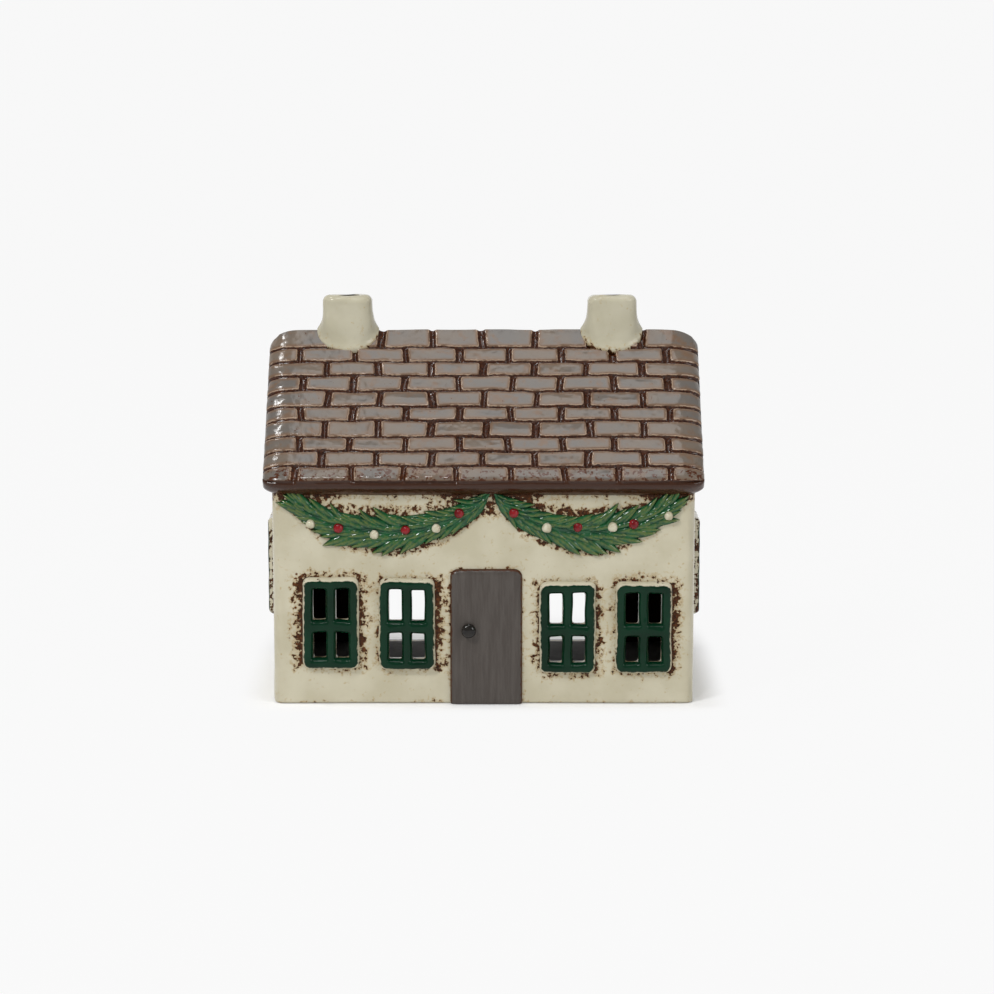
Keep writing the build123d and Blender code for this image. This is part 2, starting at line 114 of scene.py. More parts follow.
def make_piece(name, points, quads, caps, material, nodes, body="house", values=None, subdivide=0):
    """Makes a smooth piece from points in millimetres, lets it ride on its body and stand for CAD nodes."""
    faces = quads.tolist() + [list(cap) for cap in caps]
    if signed_volume(points - points.mean(axis=0), quads) < 0:
        faces = [face[::-1] for face in faces]
    mesh = bpy.data.meshes.new(name)
    mesh.from_pydata((points * MM).tolist(), [], faces)
    for label, numbers in (values or {}).items():
        attribute = mesh.attributes.new(label, "FLOAT", "POINT")
        attribute.data.foreach_set("value", np.asarray(numbers, dtype=np.float32).ravel())
    mesh.shade_smooth()
    mesh.materials.append(material)
    piece = bpy.data.objects.new(name, mesh)
    bpy.context.scene.collection.objects.link(piece)
    if subdivide:
        softened = piece.modifiers.new("soft clay", "SUBSURF")
        softened.levels = softened.render_levels = subdivide
    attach(piece, body)
    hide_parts(*nodes)
    print(name, len(points), "points,", len(faces), "faces")


def end_caps(rows, columns):
    """The two faces that close the first and the last ring of a tube."""
    return [np.arange(columns)[::-1], np.arange(columns) + (rows - 1) * columns]


def tube_piece(name, rings, material, node, body="house", values=None):
    """Makes a piece from rings of points, joined ring to ring and closed at both ends."""
    rows, columns = rings.shape[:2]
    quads = grid_faces(rows, columns, wrap=True)
    caps = end_caps(rows, columns)
    make_piece(name, rings.reshape(-1, 3), quads, caps, material, [node], body, values)


SWAY_WAVES = 6


def sway(seed, size, *coordinates):
    """Unevenness of hand-made clay, about -1 to 1: the sum of sine waves of about that wavelength."""
    random = np.random.default_rng(seed)
    total = 0
    for _ in range(SWAY_WAVES):
        direction = random.normal(size=len(coordinates))
        direction *= 2 * np.pi * random.uniform(0.7, 1.4) / (size * np.linalg.norm(direction))
        phase = random.uniform(0, 2 * np.pi)
        total = total + np.sin(sum(d * c for d, c in zip(direction, coordinates)) + phase)
    return total * 2 / SWAY_WAVES


def box_distance(u, v, middle, half, radius=0.0):
    """Distance to the edge of a rectangle with rounded corners, negative inside."""
    across = np.abs(u - middle[0]) - half[0] + radius
    along = np.abs(v - middle[1]) - half[1] + radius
    outside = np.hypot(np.maximum(across, 0), np.maximum(along, 0))
    return outside + np.minimum(np.maximum(across, along), 0) - radius


def smooth_step(x, low, high):
    """0 below low, 1 above high, with a soft S between."""
    t = np.clip((x - low) / (high - low), 0, 1)
    return t * t * (3 - 2 * t)


# %% Backdrop
FLOOR_FRONT = -4000.0
FLOOR_BACK = 1500.0
BEND_RADIUS = 900.0
BACKDROP_TOP = 4000.0
BACKDROP_HALF_WIDTH = 5000.0
BEND_STEPS = 24

bend = np.linspace(0, np.pi / 2, BEND_STEPS)
sheet_y = np.concatenate([[FLOOR_FRONT], FLOOR_BACK + BEND_RADIUS * np.sin(bend), [FLOOR_BACK + BEND_RADIUS]])
sheet_z = np.concatenate([[0.0], BEND_RADIUS * (1 - np.cos(bend)), [BACKDROP_TOP]])
sheet_x = np.array([-BACKDROP_HALF_WIDTH, BACKDROP_HALF_WIDTH])
sheet = np.stack(np.broadcast_arrays(sheet_x[None, :], sheet_y[:, None], sheet_z[:, None]), axis=-1)
backdrop_mesh = bpy.data.meshes.new("backdrop")
backdrop_mesh.from_pydata((sheet.reshape(-1, 3) * MM).tolist(), [], grid_faces(len(sheet_y), 2).tolist())
backdrop_mesh.shade_smooth()
backdrop = bpy.data.objects.new("backdrop", backdrop_mesh)
bpy.context.scene.collection.objects.link(backdrop)
print("backdrop of", len(backdrop_mesh.polygons), "faces")

# %% [markdown]
# ## Helpers for materials
# A material is a small network. These helpers add one node and link it in one line, so that each finish
# below reads as a recipe. Noise is measured in millimetres on Object coordinates, so grain keeps its size.

# %% Node helpers


def put(tree, kind, inputs=None, **settings):
    """Adds a node, sets its settings, and sets or links each input by name or number."""
    node = tree.nodes.new(kind)
    for name, value in settings.items():
        setattr(node, name, value)
    for name, value in (inputs or {}).items():
        feed(tree, node.inputs[name], value)
    return node


def feed(tree, socket, value):
    """Links a socket to an output, or sets its own value; a colour of three numbers is made opaque."""
    if isinstance(value, bpy.types.NodeSocket):
        tree.links.new(value, socket)
    elif isinstance(value, tuple) and socket.type == "RGBA":
        socket.default_value = (*value, 1.0)
    else:
        socket.default_value = value


def noise(tree, size, detail=2.0, roughness=0.5, stretch=(1.0, 1.0, 1.0)):
    """Cloudy noise with features of about that size in millimetres; stretch squeezes it along an axis."""
    place = put(tree, "ShaderNodeTexCoord").outputs["Object"]
    turned = put(tree, "ShaderNodeMapping", {"Vector": place, "Scale": stretch}).outputs["Vector"]
    inputs = {"Vector": turned, "Scale": 1 / (size * MM), "Detail": detail, "Roughness": roughness}
    return put(tree, "ShaderNodeTexNoise", inputs).outputs["Fac"]


def ramp(tree, value, low, high):
    """A soft step from 0 at low to 1 at high."""
    inputs = {"Value": value, "From Min": low, "From Max": high}
    return put(tree, "ShaderNodeMapRange", inputs, interpolation_type="SMOOTHSTEP").outputs["Result"]


def calc(tree, operation, first, second=0.0):
    """One sum of two values."""
    return put(tree, "ShaderNodeMath", {0: first, 1: second}, operation=operation).outputs[0]


def between(tree, factor, first, second):
    """The first colour where the factor is 0, the second where it is 1."""
    return put(tree, "ShaderNodeMix", {0: factor, 6: first, 7: second}, data_type="RGBA").outputs[2]


def field(tree, name):
    """A value that the mesh stores at its points."""
    return put(tree, "ShaderNodeAttribute", attribute_name=name).outputs["Fac"]


def torn_field(tree, name, size, depth, roughness=0.6):
    """A value of the mesh with a torn outline: noise of that size is added to it, times the depth."""
    torn = calc(tree, "SUBTRACT", noise(tree, size, 3, roughness), 0.5)
    return calc(tree, "ADD", field(tree, name), calc(tree, "MULTIPLY", torn, depth))


def bumped(tree, height, depth, strength=1.0):
    """A normal that is tilted by a height map, whose full range stands for a depth in millimetres."""
    inputs = {"Height": height, "Distance": depth * MM, "Strength": strength}
    return put(tree, "ShaderNodeBump", inputs).outputs["Normal"]


def new_group(name, inputs, outputs):
    """An empty node group with named values in and out."""
    group = bpy.data.node_groups.new(name, "ShaderNodeTree")
    for label, value in inputs.items():
        socket = group.interface.new_socket(label, in_out="INPUT", socket_type="NodeSocketFloat")
        socket.default_value = value
    for label in outputs:
        group.interface.new_socket(label, in_out="OUTPUT", socket_type="NodeSocketFloat")
    return group, group.nodes.new("NodeGroupInput").outputs, group.nodes.new("NodeGroupOutput").inputs


def use_group(tree, group, inputs=None):
    """Places a node group in a material and returns its outputs."""
    return put(tree, "ShaderNodeGroup", inputs, node_tree=group).outputs


def new_material(name):
    """An empty material with its tree and its main shader."""
    material = bpy.data.materials.new(name)
    material.use_nodes = True
    return material, material.node_tree, material.node_tree.nodes["Principled BSDF"]


PLAIN_GLOSS = 0.5


def finish(tree, shader, colour, normal, roughness, gloss=PLAIN_GLOSS):
    """Gives a material's main shader its colour, normal, roughness and gloss."""
    feed(tree, shader.inputs["Base Color"], colour)
    feed(tree, shader.inputs["Normal"], normal)
    feed(tree, shader.inputs["Roughness"], roughness)
    shader.inputs["Specular IOR Level"].default_value = gloss


# %% Backdrop material and lamps
BACKDROP_WHITE = (0.947, 0.947, 0.947)
CONTACT_START = 2.0
CONTACT_END = 14.0
CONTACT_SHARE = 0.85
BEHIND_SQUEEZE = 0.2
FAR_SHARE = 0.02

backdrop_paper, tree, shader = new_material("backdrop_paper")
shader.inputs["Base Color"].default_value = (*BACKDROP_WHITE, 1)
shader.inputs["Roughness"].default_value = 0.9
spot = put(tree, "ShaderNodeSeparateXYZ", {0: put(tree, "ShaderNodeTexCoord").outputs["Object"]}).outputs
beside = calc(tree, "SUBTRACT", calc(tree, "ABSOLUTE", spot["X"]), HALF_LENGTH * MM)
off_x = calc(tree, "MAXIMUM", beside, 0.0)
before = calc(tree, "SUBTRACT", FRONT_FACE * MM, spot["Y"])
behind = calc(tree, "MULTIPLY", calc(tree, "ADD", spot["Y"], FRONT_FACE * MM), BEHIND_SQUEEZE)
off_y = calc(tree, "MAXIMUM", calc(tree, "MAXIMUM", before, behind), 0.0)
squares = calc(tree, "ADD", calc(tree, "POWER", off_x, 2.0), calc(tree, "POWER", off_y, 2.0))
gap = calc(tree, "SQRT", squares)
contact = ramp(tree, gap, CONTACT_END * MM, CONTACT_START * MM)
shaded = calc(tree, "ADD", calc(tree, "MULTIPLY", contact, CONTACT_SHARE - FAR_SHARE), FAR_SHARE)
path = put(tree, "ShaderNodeLightPath").outputs
seen = calc(tree, "MAXIMUM", path["Is Camera Ray"], path["Is Glossy Ray"])
seen = calc(tree, "MAXIMUM", seen, path["Is Transmission Ray"])
plain = put(tree, "ShaderNodeEmission", {"Color": BACKDROP_WHITE, "Strength": 1.0}).outputs["Emission"]
share = calc(tree, "MULTIPLY", seen, calc(tree, "SUBTRACT", 1.0, shaded))
paper = put(tree, "ShaderNodeMixShader", {0: share, 1: shader.outputs["BSDF"], 2: plain})
tree.links.new(paper.outputs["Shader"], tree.nodes["Material Output"].inputs["Surface"])
backdrop_mesh.materials.append(backdrop_paper)


def softbox(name, place, aim, size, power):
    """A square area lamp at a place in millimetres, turned to its aim."""
    lamp = bpy.data.lights.new(name, "AREA")
    lamp.size = size * MM
    lamp.energy = power
    box = bpy.data.objects.new(name, lamp)
    box.location = np.array(place) * MM
    direction = (np.array(aim) - np.array(place)).tolist()
    box.rotation_euler = Vector(direction).to_track_quat("-Z", "Y").to_euler()
    bpy.context.scene.collection.objects.link(box)


HOUSE_MIDDLE = (0.0, 0.0, 65.0)
WORLD_STRENGTH = 0.36
# Place, size and power of each lamp. The two small ones are there for glints.
LAMPS = {
    "key_softbox": ((-700, -820, 980), 220, 8.2),
    "fill_softbox": ((900, -800, 520), 420, 3.4),
    "top_softbox": ((40, -200, 1250), 460, 2.2),
    "left_spark": ((-560, -40, 1150), 110, 1.7),
    "front_spark": ((-180, -720, 1250), 100, 1.8),
}
for name, (place, size, power) in LAMPS.items():
    softbox(name, place, HOUSE_MIDDLE, size, power)

world = bpy.data.worlds.new("studio_air")
world.use_nodes = True
world.node_tree.nodes["Background"].inputs["Color"].default_value = (1, 1, 1, 1)
world.node_tree.nodes["Background"].inputs["Strength"].default_value = WORLD_STRENGTH
bpy.context.scene.world = world
print("lamps:", list(LAMPS))

# %% [markdown]
# ## Glaze effects that several finishes share
# Stoneware glaze is never one colour. Where it runs thin over an edge the iron in the clay burns through as
# rust brown with an ochre halo. In the plain areas it is cloudy, with the faint orange peel of melted glass.
# Both effects are node groups, so that walls, frames, roof and chimneys break in the same way.

# %% Glaze groups
CLOUD_SIZE = 14
RIPPLE_SIZE = 3.2
GRAIN_SIZE = 0.7
BLOTCH_SIZE = 5.0
FLECK_SIZE = 1.5
DOT_SPACING = 2.4

cloudy_glaze, given, result = new_group("cloudy_glaze", {"Size": 1.0}, ["Cloud", "Ripple", "Grain"])
feed(cloudy_glaze, result["Cloud"], ramp(cloudy_glaze, noise(cloudy_glaze, CLOUD_SIZE, 3), 0.32, 0.68))
ripple = calc(cloudy_glaze, "MULTIPLY", noise(cloudy_glaze, RIPPLE_SIZE, 1), given["Size"])
feed(cloudy_glaze, result["Ripple"], ripple)
grain = ramp(cloudy_glaze, noise(cloudy_glaze, GRAIN_SIZE, 3, 0.65), 0.35, 0.7)
feed(cloudy_glaze, result["Grain"], grain)

iron_break, given, result = new_group("iron_break", {"Near": 0.0, "Ragged": 1.0}, ["Rust", "Halo", "Speck"])
coarse = calc(iron_break, "SUBTRACT", noise(iron_break, BLOTCH_SIZE, 3, 0.6), 0.5)
fine = calc(iron_break, "SUBTRACT", noise(iron_break, FLECK_SIZE, 3, 0.62), 0.5)
torn = calc(iron_break, "ADD", coarse, calc(iron_break, "MULTIPLY", fine, 2.0))
torn = calc(iron_break, "MULTIPLY", torn, given["Ragged"])
torn = calc(iron_break, "ADD", torn, given["Near"])
feed(iron_break, result["Rust"], ramp(iron_break, torn, 0.58, 0.67))
feed(iron_break, result["Halo"], ramp(iron_break, torn, 0.22, 0.64))
place = put(iron_break, "ShaderNodeTexCoord").outputs["Object"]
dots = put(iron_break, "ShaderNodeTexVoronoi", {"Vector": place, "Scale": 1 / (DOT_SPACING * MM)})
dot = ramp(iron_break, dots.outputs["Distance"], 0.26, 0.12)
few = ramp(iron_break, calc(iron_break, "ADD", given["Near"], coarse), 0.22, 0.5)
feed(iron_break, result["Speck"], calc(iron_break, "MULTIPLY", dot, few))
print("groups:", [group.name for group in bpy.data.node_groups])

# %% [markdown]
# ## Cream glaze of the walls and chimneys
# The walls are warm cream, yellower and greyer in clouds; the chimneys get a darker copy of it, which is
# painted shade, as they stand less lit. Each wall mesh stores how near a point lies to an edge or ornament,
# and the rust follows that value with a torn outline. Indoors the walls are near black.

# %% Cream glaze
GLAZE_GLOSS = 0.18
CREAM = (0.545, 0.508, 0.385)
CREAM_SHADE = (0.475, 0.435, 0.315)
OCHRE = (0.36, 0.225, 0.075)
RUST = (0.100, 0.030, 0.005)
RUST_DARK = (0.020, 0.006, 0.001)
INSIDE_DARK = (0.030, 0.018, 0.011)
# The chimneys' cream is darker than the walls': painted shade, for chimneys that stand less lit.
SHADED_STACK_CREAM = (0.480, 0.452, 0.345)
SHADED_STACK_CLOUD = (0.425, 0.395, 0.290)


def cream_finish(name, light, shade):
    """Cream glaze between two colours, with rust near the edges of the mesh and a near-black inside."""
    material, tree, shader = new_material(name)
    glaze = use_group(tree, cloudy_glaze)
    rust = use_group(tree, iron_break, {"Near": field(tree, "near")})
    colour = between(tree, glaze["Cloud"], light, shade)
    colour = between(tree, calc(tree, "MULTIPLY", rust["Halo"], 0.55), colour, OCHRE)
    iron = between(tree, glaze["Grain"], RUST_DARK, RUST)
    colour = between(tree, rust["Rust"], colour, iron)
    colour = between(tree, rust["Speck"], colour, RUST)
    colour = between(tree, ramp(tree, field(tree, "inside"), 0.7, 1.0), colour, INSIDE_DARK)
    roughness = ramp(tree, rust["Rust"], -1.2, 4.0)
    finish(tree, shader, colour, bumped(tree, glaze["Ripple"], 0.22), roughness, GLAZE_GLOSS)
    print(name, "with", len(tree.nodes), "nodes")
    return material


cream_glaze = cream_finish("cream_glaze", CREAM, CREAM_SHADE)
# A darker copy of the cream for the chimneys: painted shade.
chimney_shaded_glaze = cream_finish("chimney_shaded_glaze", SHADED_STACK_CREAM, SHADED_STACK_CLOUD)

# %% [markdown]
# ## Roof glaze
# A taupe glaze lies on the tile pads, greyer and bluer in their middles and pinkish tan on their rims, where
# it is thin. In the joints it burned to a dark red brown. The roof mesh stores the distance to the nearest
# joint, so one ramp can give all three.

# %% Roof glaze
TILE_GREY = (0.148, 0.115, 0.087)
TILE_BLUE = (0.119, 0.107, 0.096)
TILE_EDGE = (0.150, 0.094, 0.060)
TILE_RIM = (0.33, 0.235, 0.165)
JOINT = (0.066, 0.019, 0.006)
JOINT_DARK = (0.018, 0.005, 0.002)
EAVE = (0.040, 0.014, 0.006)
ROOF_ROUGHNESS = 0.15
ROOF_GLOSS = 0.32

roof_glaze, tree, shader = new_material("roof_glaze")
glaze = use_group(tree, cloudy_glaze)
pad = torn_field(tree, "pad", 1.3, 0.7, 0.65)
near = calc(tree, "ADD", calc(tree, "MULTIPLY", field(tree, "eave"), 0.34), 0.14)
rust = use_group(tree, iron_break, {"Near": near})
top = between(tree, glaze["Cloud"], TILE_GREY, TILE_BLUE)
mottle = ramp(tree, noise(tree, 6.0, 3, 0.6), 0.52, 0.70)
edge = calc(tree, "MAXIMUM", ramp(tree, pad, 1.7, 0.4), mottle)
top = between(tree, edge, top, TILE_EDGE)
line = calc(tree, "MULTIPLY", ramp(tree, pad, 0.42, 0.22), ramp(tree, noise(tree, 3.0, 2), 0.40, 0.52))
top = between(tree, line, top, TILE_RIM)
joint = between(tree, glaze["Grain"], JOINT_DARK, JOINT)
colour = between(tree, ramp(tree, pad, -0.12, 0.14), joint, top)
colour = between(tree, calc(tree, "MAXIMUM", rust["Rust"], rust["Speck"]), colour, JOINT)
colour = between(tree, ramp(tree, field(tree, "eave"), 1.05, 1.6), colour, EAVE)
finish(tree, shader, colour, bumped(tree, glaze["Ripple"], 0.20), ROOF_ROUGHNESS, ROOF_GLOSS)
print("roof glaze with", len(tree.nodes), "nodes")

# %% [markdown]
# ## Green glaze of the frames, grey glaze of the door, leaves and berries
# The green was brushed on over the cream, so a cream rim is left round each frame; along a frame's top it is
# wider, partly bare cream and partly painted highlight on the top edge. The door's grey shows the brush as
# upright streaks. On the leaves the glaze gathers dark in the hollows and breaks pale on the crests.

# %% Green glaze
GREEN = (0.0004, 0.0165, 0.0062)
GREEN_LIGHT = (0.0012, 0.0265, 0.0108)
GREEN_ROUGHNESS = 0.13

green_glaze, tree, shader = new_material("green_glaze")
glaze = use_group(tree, cloudy_glaze)
rim = torn_field(tree, "rim", 2.0, 1.5)
green = between(tree, glaze["Cloud"], GREEN, GREEN_LIGHT)
iron = between(tree, glaze["Grain"], RUST_DARK, RUST)
rust = use_group(tree, iron_break, {"Near": field(tree, "burn")})
cream = between(tree, glaze["Cloud"], CREAM, CREAM_SHADE)
cream = between(tree, rust["Rust"], cream, iron)
colour = between(tree, ramp(tree, rim, 0.35, 0.75), cream, green)
finish(tree, shader, colour, bumped(tree, glaze["Ripple"], 0.3), GREEN_ROUGHNESS, GLAZE_GLOSS)
print("green glaze with", len(tree.nodes), "nodes")

# %% Door glaze
DOOR_GREY = (0.066, 0.056, 0.049)
DOOR_PALE = (0.084, 0.073, 0.065)
DOOR_EDGE = (0.06, 0.022, 0.010)
DOOR_ROUGHNESS = 0.2

door_glaze, tree, shader = new_material("door_glaze")
streak = ramp(tree, noise(tree, 1.6, 3, 0.6, (1.0, 1.0, 0.09)), 0.36, 0.66)
grey = between(tree, streak, DOOR_GREY, DOOR_PALE)
rim = torn_field(tree, "rim", 1.4, 1.4)
colour = between(tree, ramp(tree, rim, 0.25, 0.8), DOOR_EDGE, grey)
finish(tree, shader, colour, bumped(tree, streak, 0.05), DOOR_ROUGHNESS, GLAZE_GLOSS)
print("door glaze with", len(tree.nodes), "nodes")

# %% Leaf glaze
LEAF = (0.010, 0.086, 0.026)
LEAF_DEEP = (0.006, 0.050, 0.020)
LEAF_DARK = (0.020, 0.011, 0.004)
LEAF_PALE = (0.20, 0.21, 0.10)
LEAF_OLIVE = (0.085, 0.125, 0.028)
LEAF_ROUGHNESS = 0.10
LEAF_GLOSS = 0.42

leaf_glaze, tree, shader = new_material("leaf_glaze")
glaze = use_group(tree, cloudy_glaze)
crest = torn_field(tree, "crest", 1.2, 0.7, 0.65)
green = between(tree, ramp(tree, noise(tree, 3.5, 2), 0.35, 0.65), LEAF, LEAF_DEEP)
colour = between(tree, ramp(tree, crest, 0.02, 0.25), LEAF_DARK, green)
colour = between(tree, ramp(tree, crest, 0.61, 1.00), colour, LEAF_OLIVE)
colour = between(tree, ramp(tree, crest, 1.02, 1.25), colour, LEAF_PALE)
finish(tree, shader, colour, bumped(tree, glaze["Ripple"], 0.15), LEAF_ROUGHNESS, LEAF_GLOSS)
print("leaf glaze with", len(tree.nodes), "nodes")

# %% Berry and knob glazes
BERRY_ROUGHNESS = 0.12
BERRY_GLOSS = 0.36
RED = (0.24, 0.006, 0.010)
RED_DARK = (0.11, 0.002, 0.004)
WHITE = (0.56, 0.53, 0.40)
WHITE_DARK = (0.42, 0.38, 0.26)
BLACK = (0.012, 0.010, 0.008)
BLACK_DARK = (0.004, 0.003, 0.002)


def berry_glaze(name, light, dark):
    """A thick glossy glaze that is darker where it gathers in clouds."""
    material, tree, shader = new_material(name)
    glaze = use_group(tree, cloudy_glaze)
    colour = between(tree, ramp(tree, noise(tree, 2.2, 2), 0.35, 0.65), light, dark)
    finish(tree, shader, colour, bumped(tree, glaze["Ripple"], 0.12), BERRY_ROUGHNESS, BERRY_GLOSS)
    return material


red_glaze = berry_glaze("red_glaze", RED, RED_DARK)
white_glaze = berry_glaze("white_glaze", WHITE, WHITE_DARK)
knob_glaze = berry_glaze("knob_glaze", BLACK, BLACK_DARK)
print("glazes:", [material.name for material in bpy.data.materials][-6:])

# %% [markdown]
# ## Garland line
# Both swags hang in a circular arc from the meeting over the door to a corner of the house. The wall needs
# this line for its rust and the leaves need it for their places, so it comes first.

# %% Swag arc
SWAG_MEETING_X = 2.8
SWAG_MEETING_GAP = 1.8
SWAG_END = HALF_LENGTH - 6.0
SWAG_HANG = WALL_TOP - 6.6
SWAG_SAG = 9.6


def swag_arc(direction, t):
    """Point and outward angle of a swag at t: an arc of a circle from the meeting (0) to the corner (1)."""
    start = SWAG_MEETING_X + direction * SWAG_MEETING_GAP
    half = (SWAG_END - direction * start) / 2
    radius = (half**2 + SWAG_SAG**2) / (2 * SWAG_SAG)
    angle = np.arcsin(half / radius) * (2 * t - 1)
    x = start + direction * half + direction * radius * np.sin(angle)
    z = SWAG_HANG - SWAG_SAG + radius * (1 - np.cos(angle))
    return x, z, angle


def swag_half_width(t):
    """Half the height of the leaves round the arc: full in the middle, narrow at both ends."""
    return 2.2 + 5.2 * np.sqrt(np.clip(np.sin(np.pi * np.clip(t, 0, 1)), 0, 1))


def swag_lift(t):
    """Extra height of the leaves at both ends of a swag, where it is pinned up to the eave."""
    return 2.6 * np.exp(-t / 0.09) + 1.6 * np.exp(-(1 - t) / 0.12)


def garland_distance(x, z):
    """Distance to the edge of the nearer swag, negative inside: height off the arc less the half width."""
    nearest = np.full(np.broadcast(x, z).shape, 99.0)
    for direction in (-1, 1):
        start = SWAG_MEETING_X + direction * SWAG_MEETING_GAP
        t = np.clip((direction * (x - start)) / (SWAG_END - direction * start), 0, 1)
        arc_x, arc_z, _ = swag_arc(direction, t)
        off = np.hypot(x - arc_x, z - arc_z - swag_lift(t)) - swag_half_width(t)
        nearest = np.minimum(nearest, off)
    return nearest


print("swags sag", SWAG_SAG, "mm")

# %% [markdown]
# ## Windows: where the panes are
# Each frame has two panes over two. The frame's box comes from CAD, and the panes are set in it with given
# sizes in millimetres. Front wall, gables and frames all use the same list of holes, so that they line up.

# %% Pane layout
FRONT_PANE = {"width": 4.2, "lower": 8.8, "upper": 10.6, "rail": 3.9}
GABLE_PANE = {"width": 5.0, "lower": 10.2, "upper": 11.6, "rail": 5.4}
MULLION = 3.6
TRANSOM = 4.6


def pane_holes(middle, half, pane):
    """Four rectangles (left, right, bottom, top) of a window, on both sides of the mullion and transom."""
    lower = middle[1] - half[1] + pane["rail"]
    upper = lower + pane["lower"] + TRANSOM
    rows = ((lower, lower + pane["lower"]), (upper, upper + pane["upper"]))
    sides = ((-MULLION / 2 - pane["width"], -MULLION / 2), (MULLION / 2, MULLION / 2 + pane["width"]))
    return [(middle[0] + left, middle[0] + right, low, high) for left, right in sides for low, high in rows]


def frame_place(node, across):
    """Middle and half size of a frame on its wall; across is the wall's long axis, 0 for X and 1 for Y."""
    low, high = box_mm(node)
    middle = ((low + high) / 2)[[across, 2]]
    return middle, ((high - low) / 2)[[across, 2]]


front_frames = {f"window_frame_{k}": frame_place(f"window_frame_{k}", 0) for k in (1, 2, 3, 4)}
gable_frames = {name: frame_place(name, 1) for name in ("left_gable_window", "right_gable_window")}
print({name: place[0].round(1).tolist() for name, place in front_frames.items()})

# %% [markdown]
# ## Slabs with holes
# A wall or a frame is a slab of clay with rectangular holes. A Boolean would leave long thin faces. A grid
# whose lines run through the hole edges needs none: the cells inside a hole are left out, and each open edge
# is closed by a strip to the back skin. A subdivision then rounds every edge a little, as glaze does.

# %% Pierced slab


def lines(low, high, step, through):
    """Grid lines from low to high, about a step apart, that run through every listed value."""
    stops = np.unique(np.round(np.concatenate([[low, high], through]), 4))
    counts = np.maximum(np.ceil(np.diff(stops) / step).astype(int), 1)
    runs = [np.linspace(a, b, n, endpoint=False) for a, b, n in zip(stops[:-1], stops[1:], counts)]
    return np.concatenate(runs + [[high]])


def pierced_slab(us, vs, holes):
    """Faces of a closed slab on a grid of lines, two skins joined round the edge and round each hole.

    Returns the faces and the numbers of the points in use: the front skin first, then the back skin.
    """
    middle_u, middle_v = (us[:-1] + us[1:]) / 2, (vs[:-1] + vs[1:]) / 2
    solid = np.ones((len(middle_u), len(middle_v)), dtype=bool)
    for left, right, low, high in holes:
        inside_u = (middle_u > left) & (middle_u < right)
        solid &= ~(inside_u[:, None] & ((middle_v > low) & (middle_v < high))[None, :])
    number = np.arange(len(us) * len(vs)).reshape(len(us), len(vs))
    back = number.size
    cells = np.stack([number[:-1, :-1], number[1:, :-1], number[1:, 1:], number[:-1, 1:]], axis=-1)[solid]
    open_cells = np.pad(solid, 1)
    before, after = open_cells[:-1, 1:-1], open_cells[1:, 1:-1]
    below, above = open_cells[1:-1, :-1], open_cells[1:-1, 1:]
    rims = [
        (number[:, :-1], number[:, 1:], after & ~before),
        (number[:, 1:], number[:, :-1], before & ~after),
        (number[1:, :], number[:-1, :], above & ~below),
        (number[:-1, :], number[1:, :], below & ~above),
    ]
    strips = [np.stack([a[k], b[k], b[k] + back, a[k] + back], axis=-1) for a, b, k in rims]
    faces = np.concatenate([cells, cells[:, ::-1] + back] + strips)
    used, faces = np.unique(faces, return_inverse=True)
    return faces.reshape(-1, 4), used


def slab_piece(node, faces, used, outer, inner, material, values, subdivide):
    """Makes a slab from an outer and an inner skin, each three arrays or numbers for X, Y and Z.

    A value is a pair: an array or number on the outer skin, and one on the inner skin.
    """
    def joined(front, back):
        """Both skins' numbers at the points in use."""
        shape = np.broadcast_shapes(*(np.shape(part) for part in outer))
        both = [np.broadcast_to(part, shape).ravel() for part in (front, back)]
        return np.concatenate(both)[used]

    points = np.stack([joined(front, back) for front, back in zip(outer, inner)], axis=-1)
    fields = {label: joined(*pair) for label, pair in values.items()}
    make_piece(node + "_clay", points, faces, [], material, [node], values=fields, subdivide=subdivide)


print("a slab of 3 by 3 lines has", len(pierced_slab(np.arange(3.0), np.arange(3.0), [])[0]), "faces")

# %% [markdown]
# ## Walls
# The front wall is a slab with soft upright corners, sixteen pane holes and a slightly wavy face. It carries
# two values for its glaze: how near a point lies to an edge that burns rust, and whether it is indoors.

# %% Front wall
CORNER_RADIUS = 3.0
SILL_FALL = 0.7
RUST_REACH = 6.2
JAMB_RUST = 0.50
# Strength of the rust at the left, right, top and bottom of each front window.
WINDOW_RUST = {
    "window_frame_1": (0.90, 0.80, 0.60, 0.45),
    "window_frame_2": (0.55, 0.90, 0.50, 0.45),
    "window_frame_3": (0.68, 0.74, 0.42, 0.60),
    "window_frame_4": (0.55, 0.86, 0.64, 0.48),
}
# Stretches of the wall under the eave that stay nearly free of rust.
CLEAR_STRIPS = ((-50, -15), (18, 55))
door_low, door_high = box_mm("front_door")
DOOR_MIDDLE = ((door_low + door_high) / 2)[[0, 2]]
DOOR_HALF = ((door_high - door_low) / 2)[[0, 2]]


def corner_turn(u):
    """How far a long wall's face falls back at its upright corners: a quarter circle."""
    past = np.clip(np.abs(u) - HALF_LENGTH + CORNER_RADIUS, 0, CORNER_RADIUS)
    return CORNER_RADIUS - np.sqrt(CORNER_RADIUS**2 - past**2)


def wall_piece(node, faces, used, outer, inner, near):
    """Makes a wall with rust on its outer skin and a near-black inner skin."""
    values = {"near": (near, 0.0), "inside": (0.0, 1.0)}
    slab_piece(node, faces, used, outer, inner, cream_glaze, values, 1)


def side_rust(x, z, middle, half, strengths):
    """Rust round a rectangle: each side's strength, faded over the reach away from that side."""
    left, right, top, bottom = strengths
    off_x, off_z = x - middle[0], z - middle[1]
    sideways = np.where(off_x < 0, left, right)
    upright = np.where(off_z > 0, top, bottom)
    lean = smooth_step(np.abs(off_x) - half[0] - np.abs(off_z) + half[1], -2.0, 2.0)
    strength = lean * sideways + (1 - lean) * upright
    distance = box_distance(x, z, middle, half, 2.0)
    fade = strength * (1 - np.clip(distance / (RUST_REACH * strength), 0, 1)) ** 0.8
    return np.where(distance < -1.2, JAMB_RUST, fade)


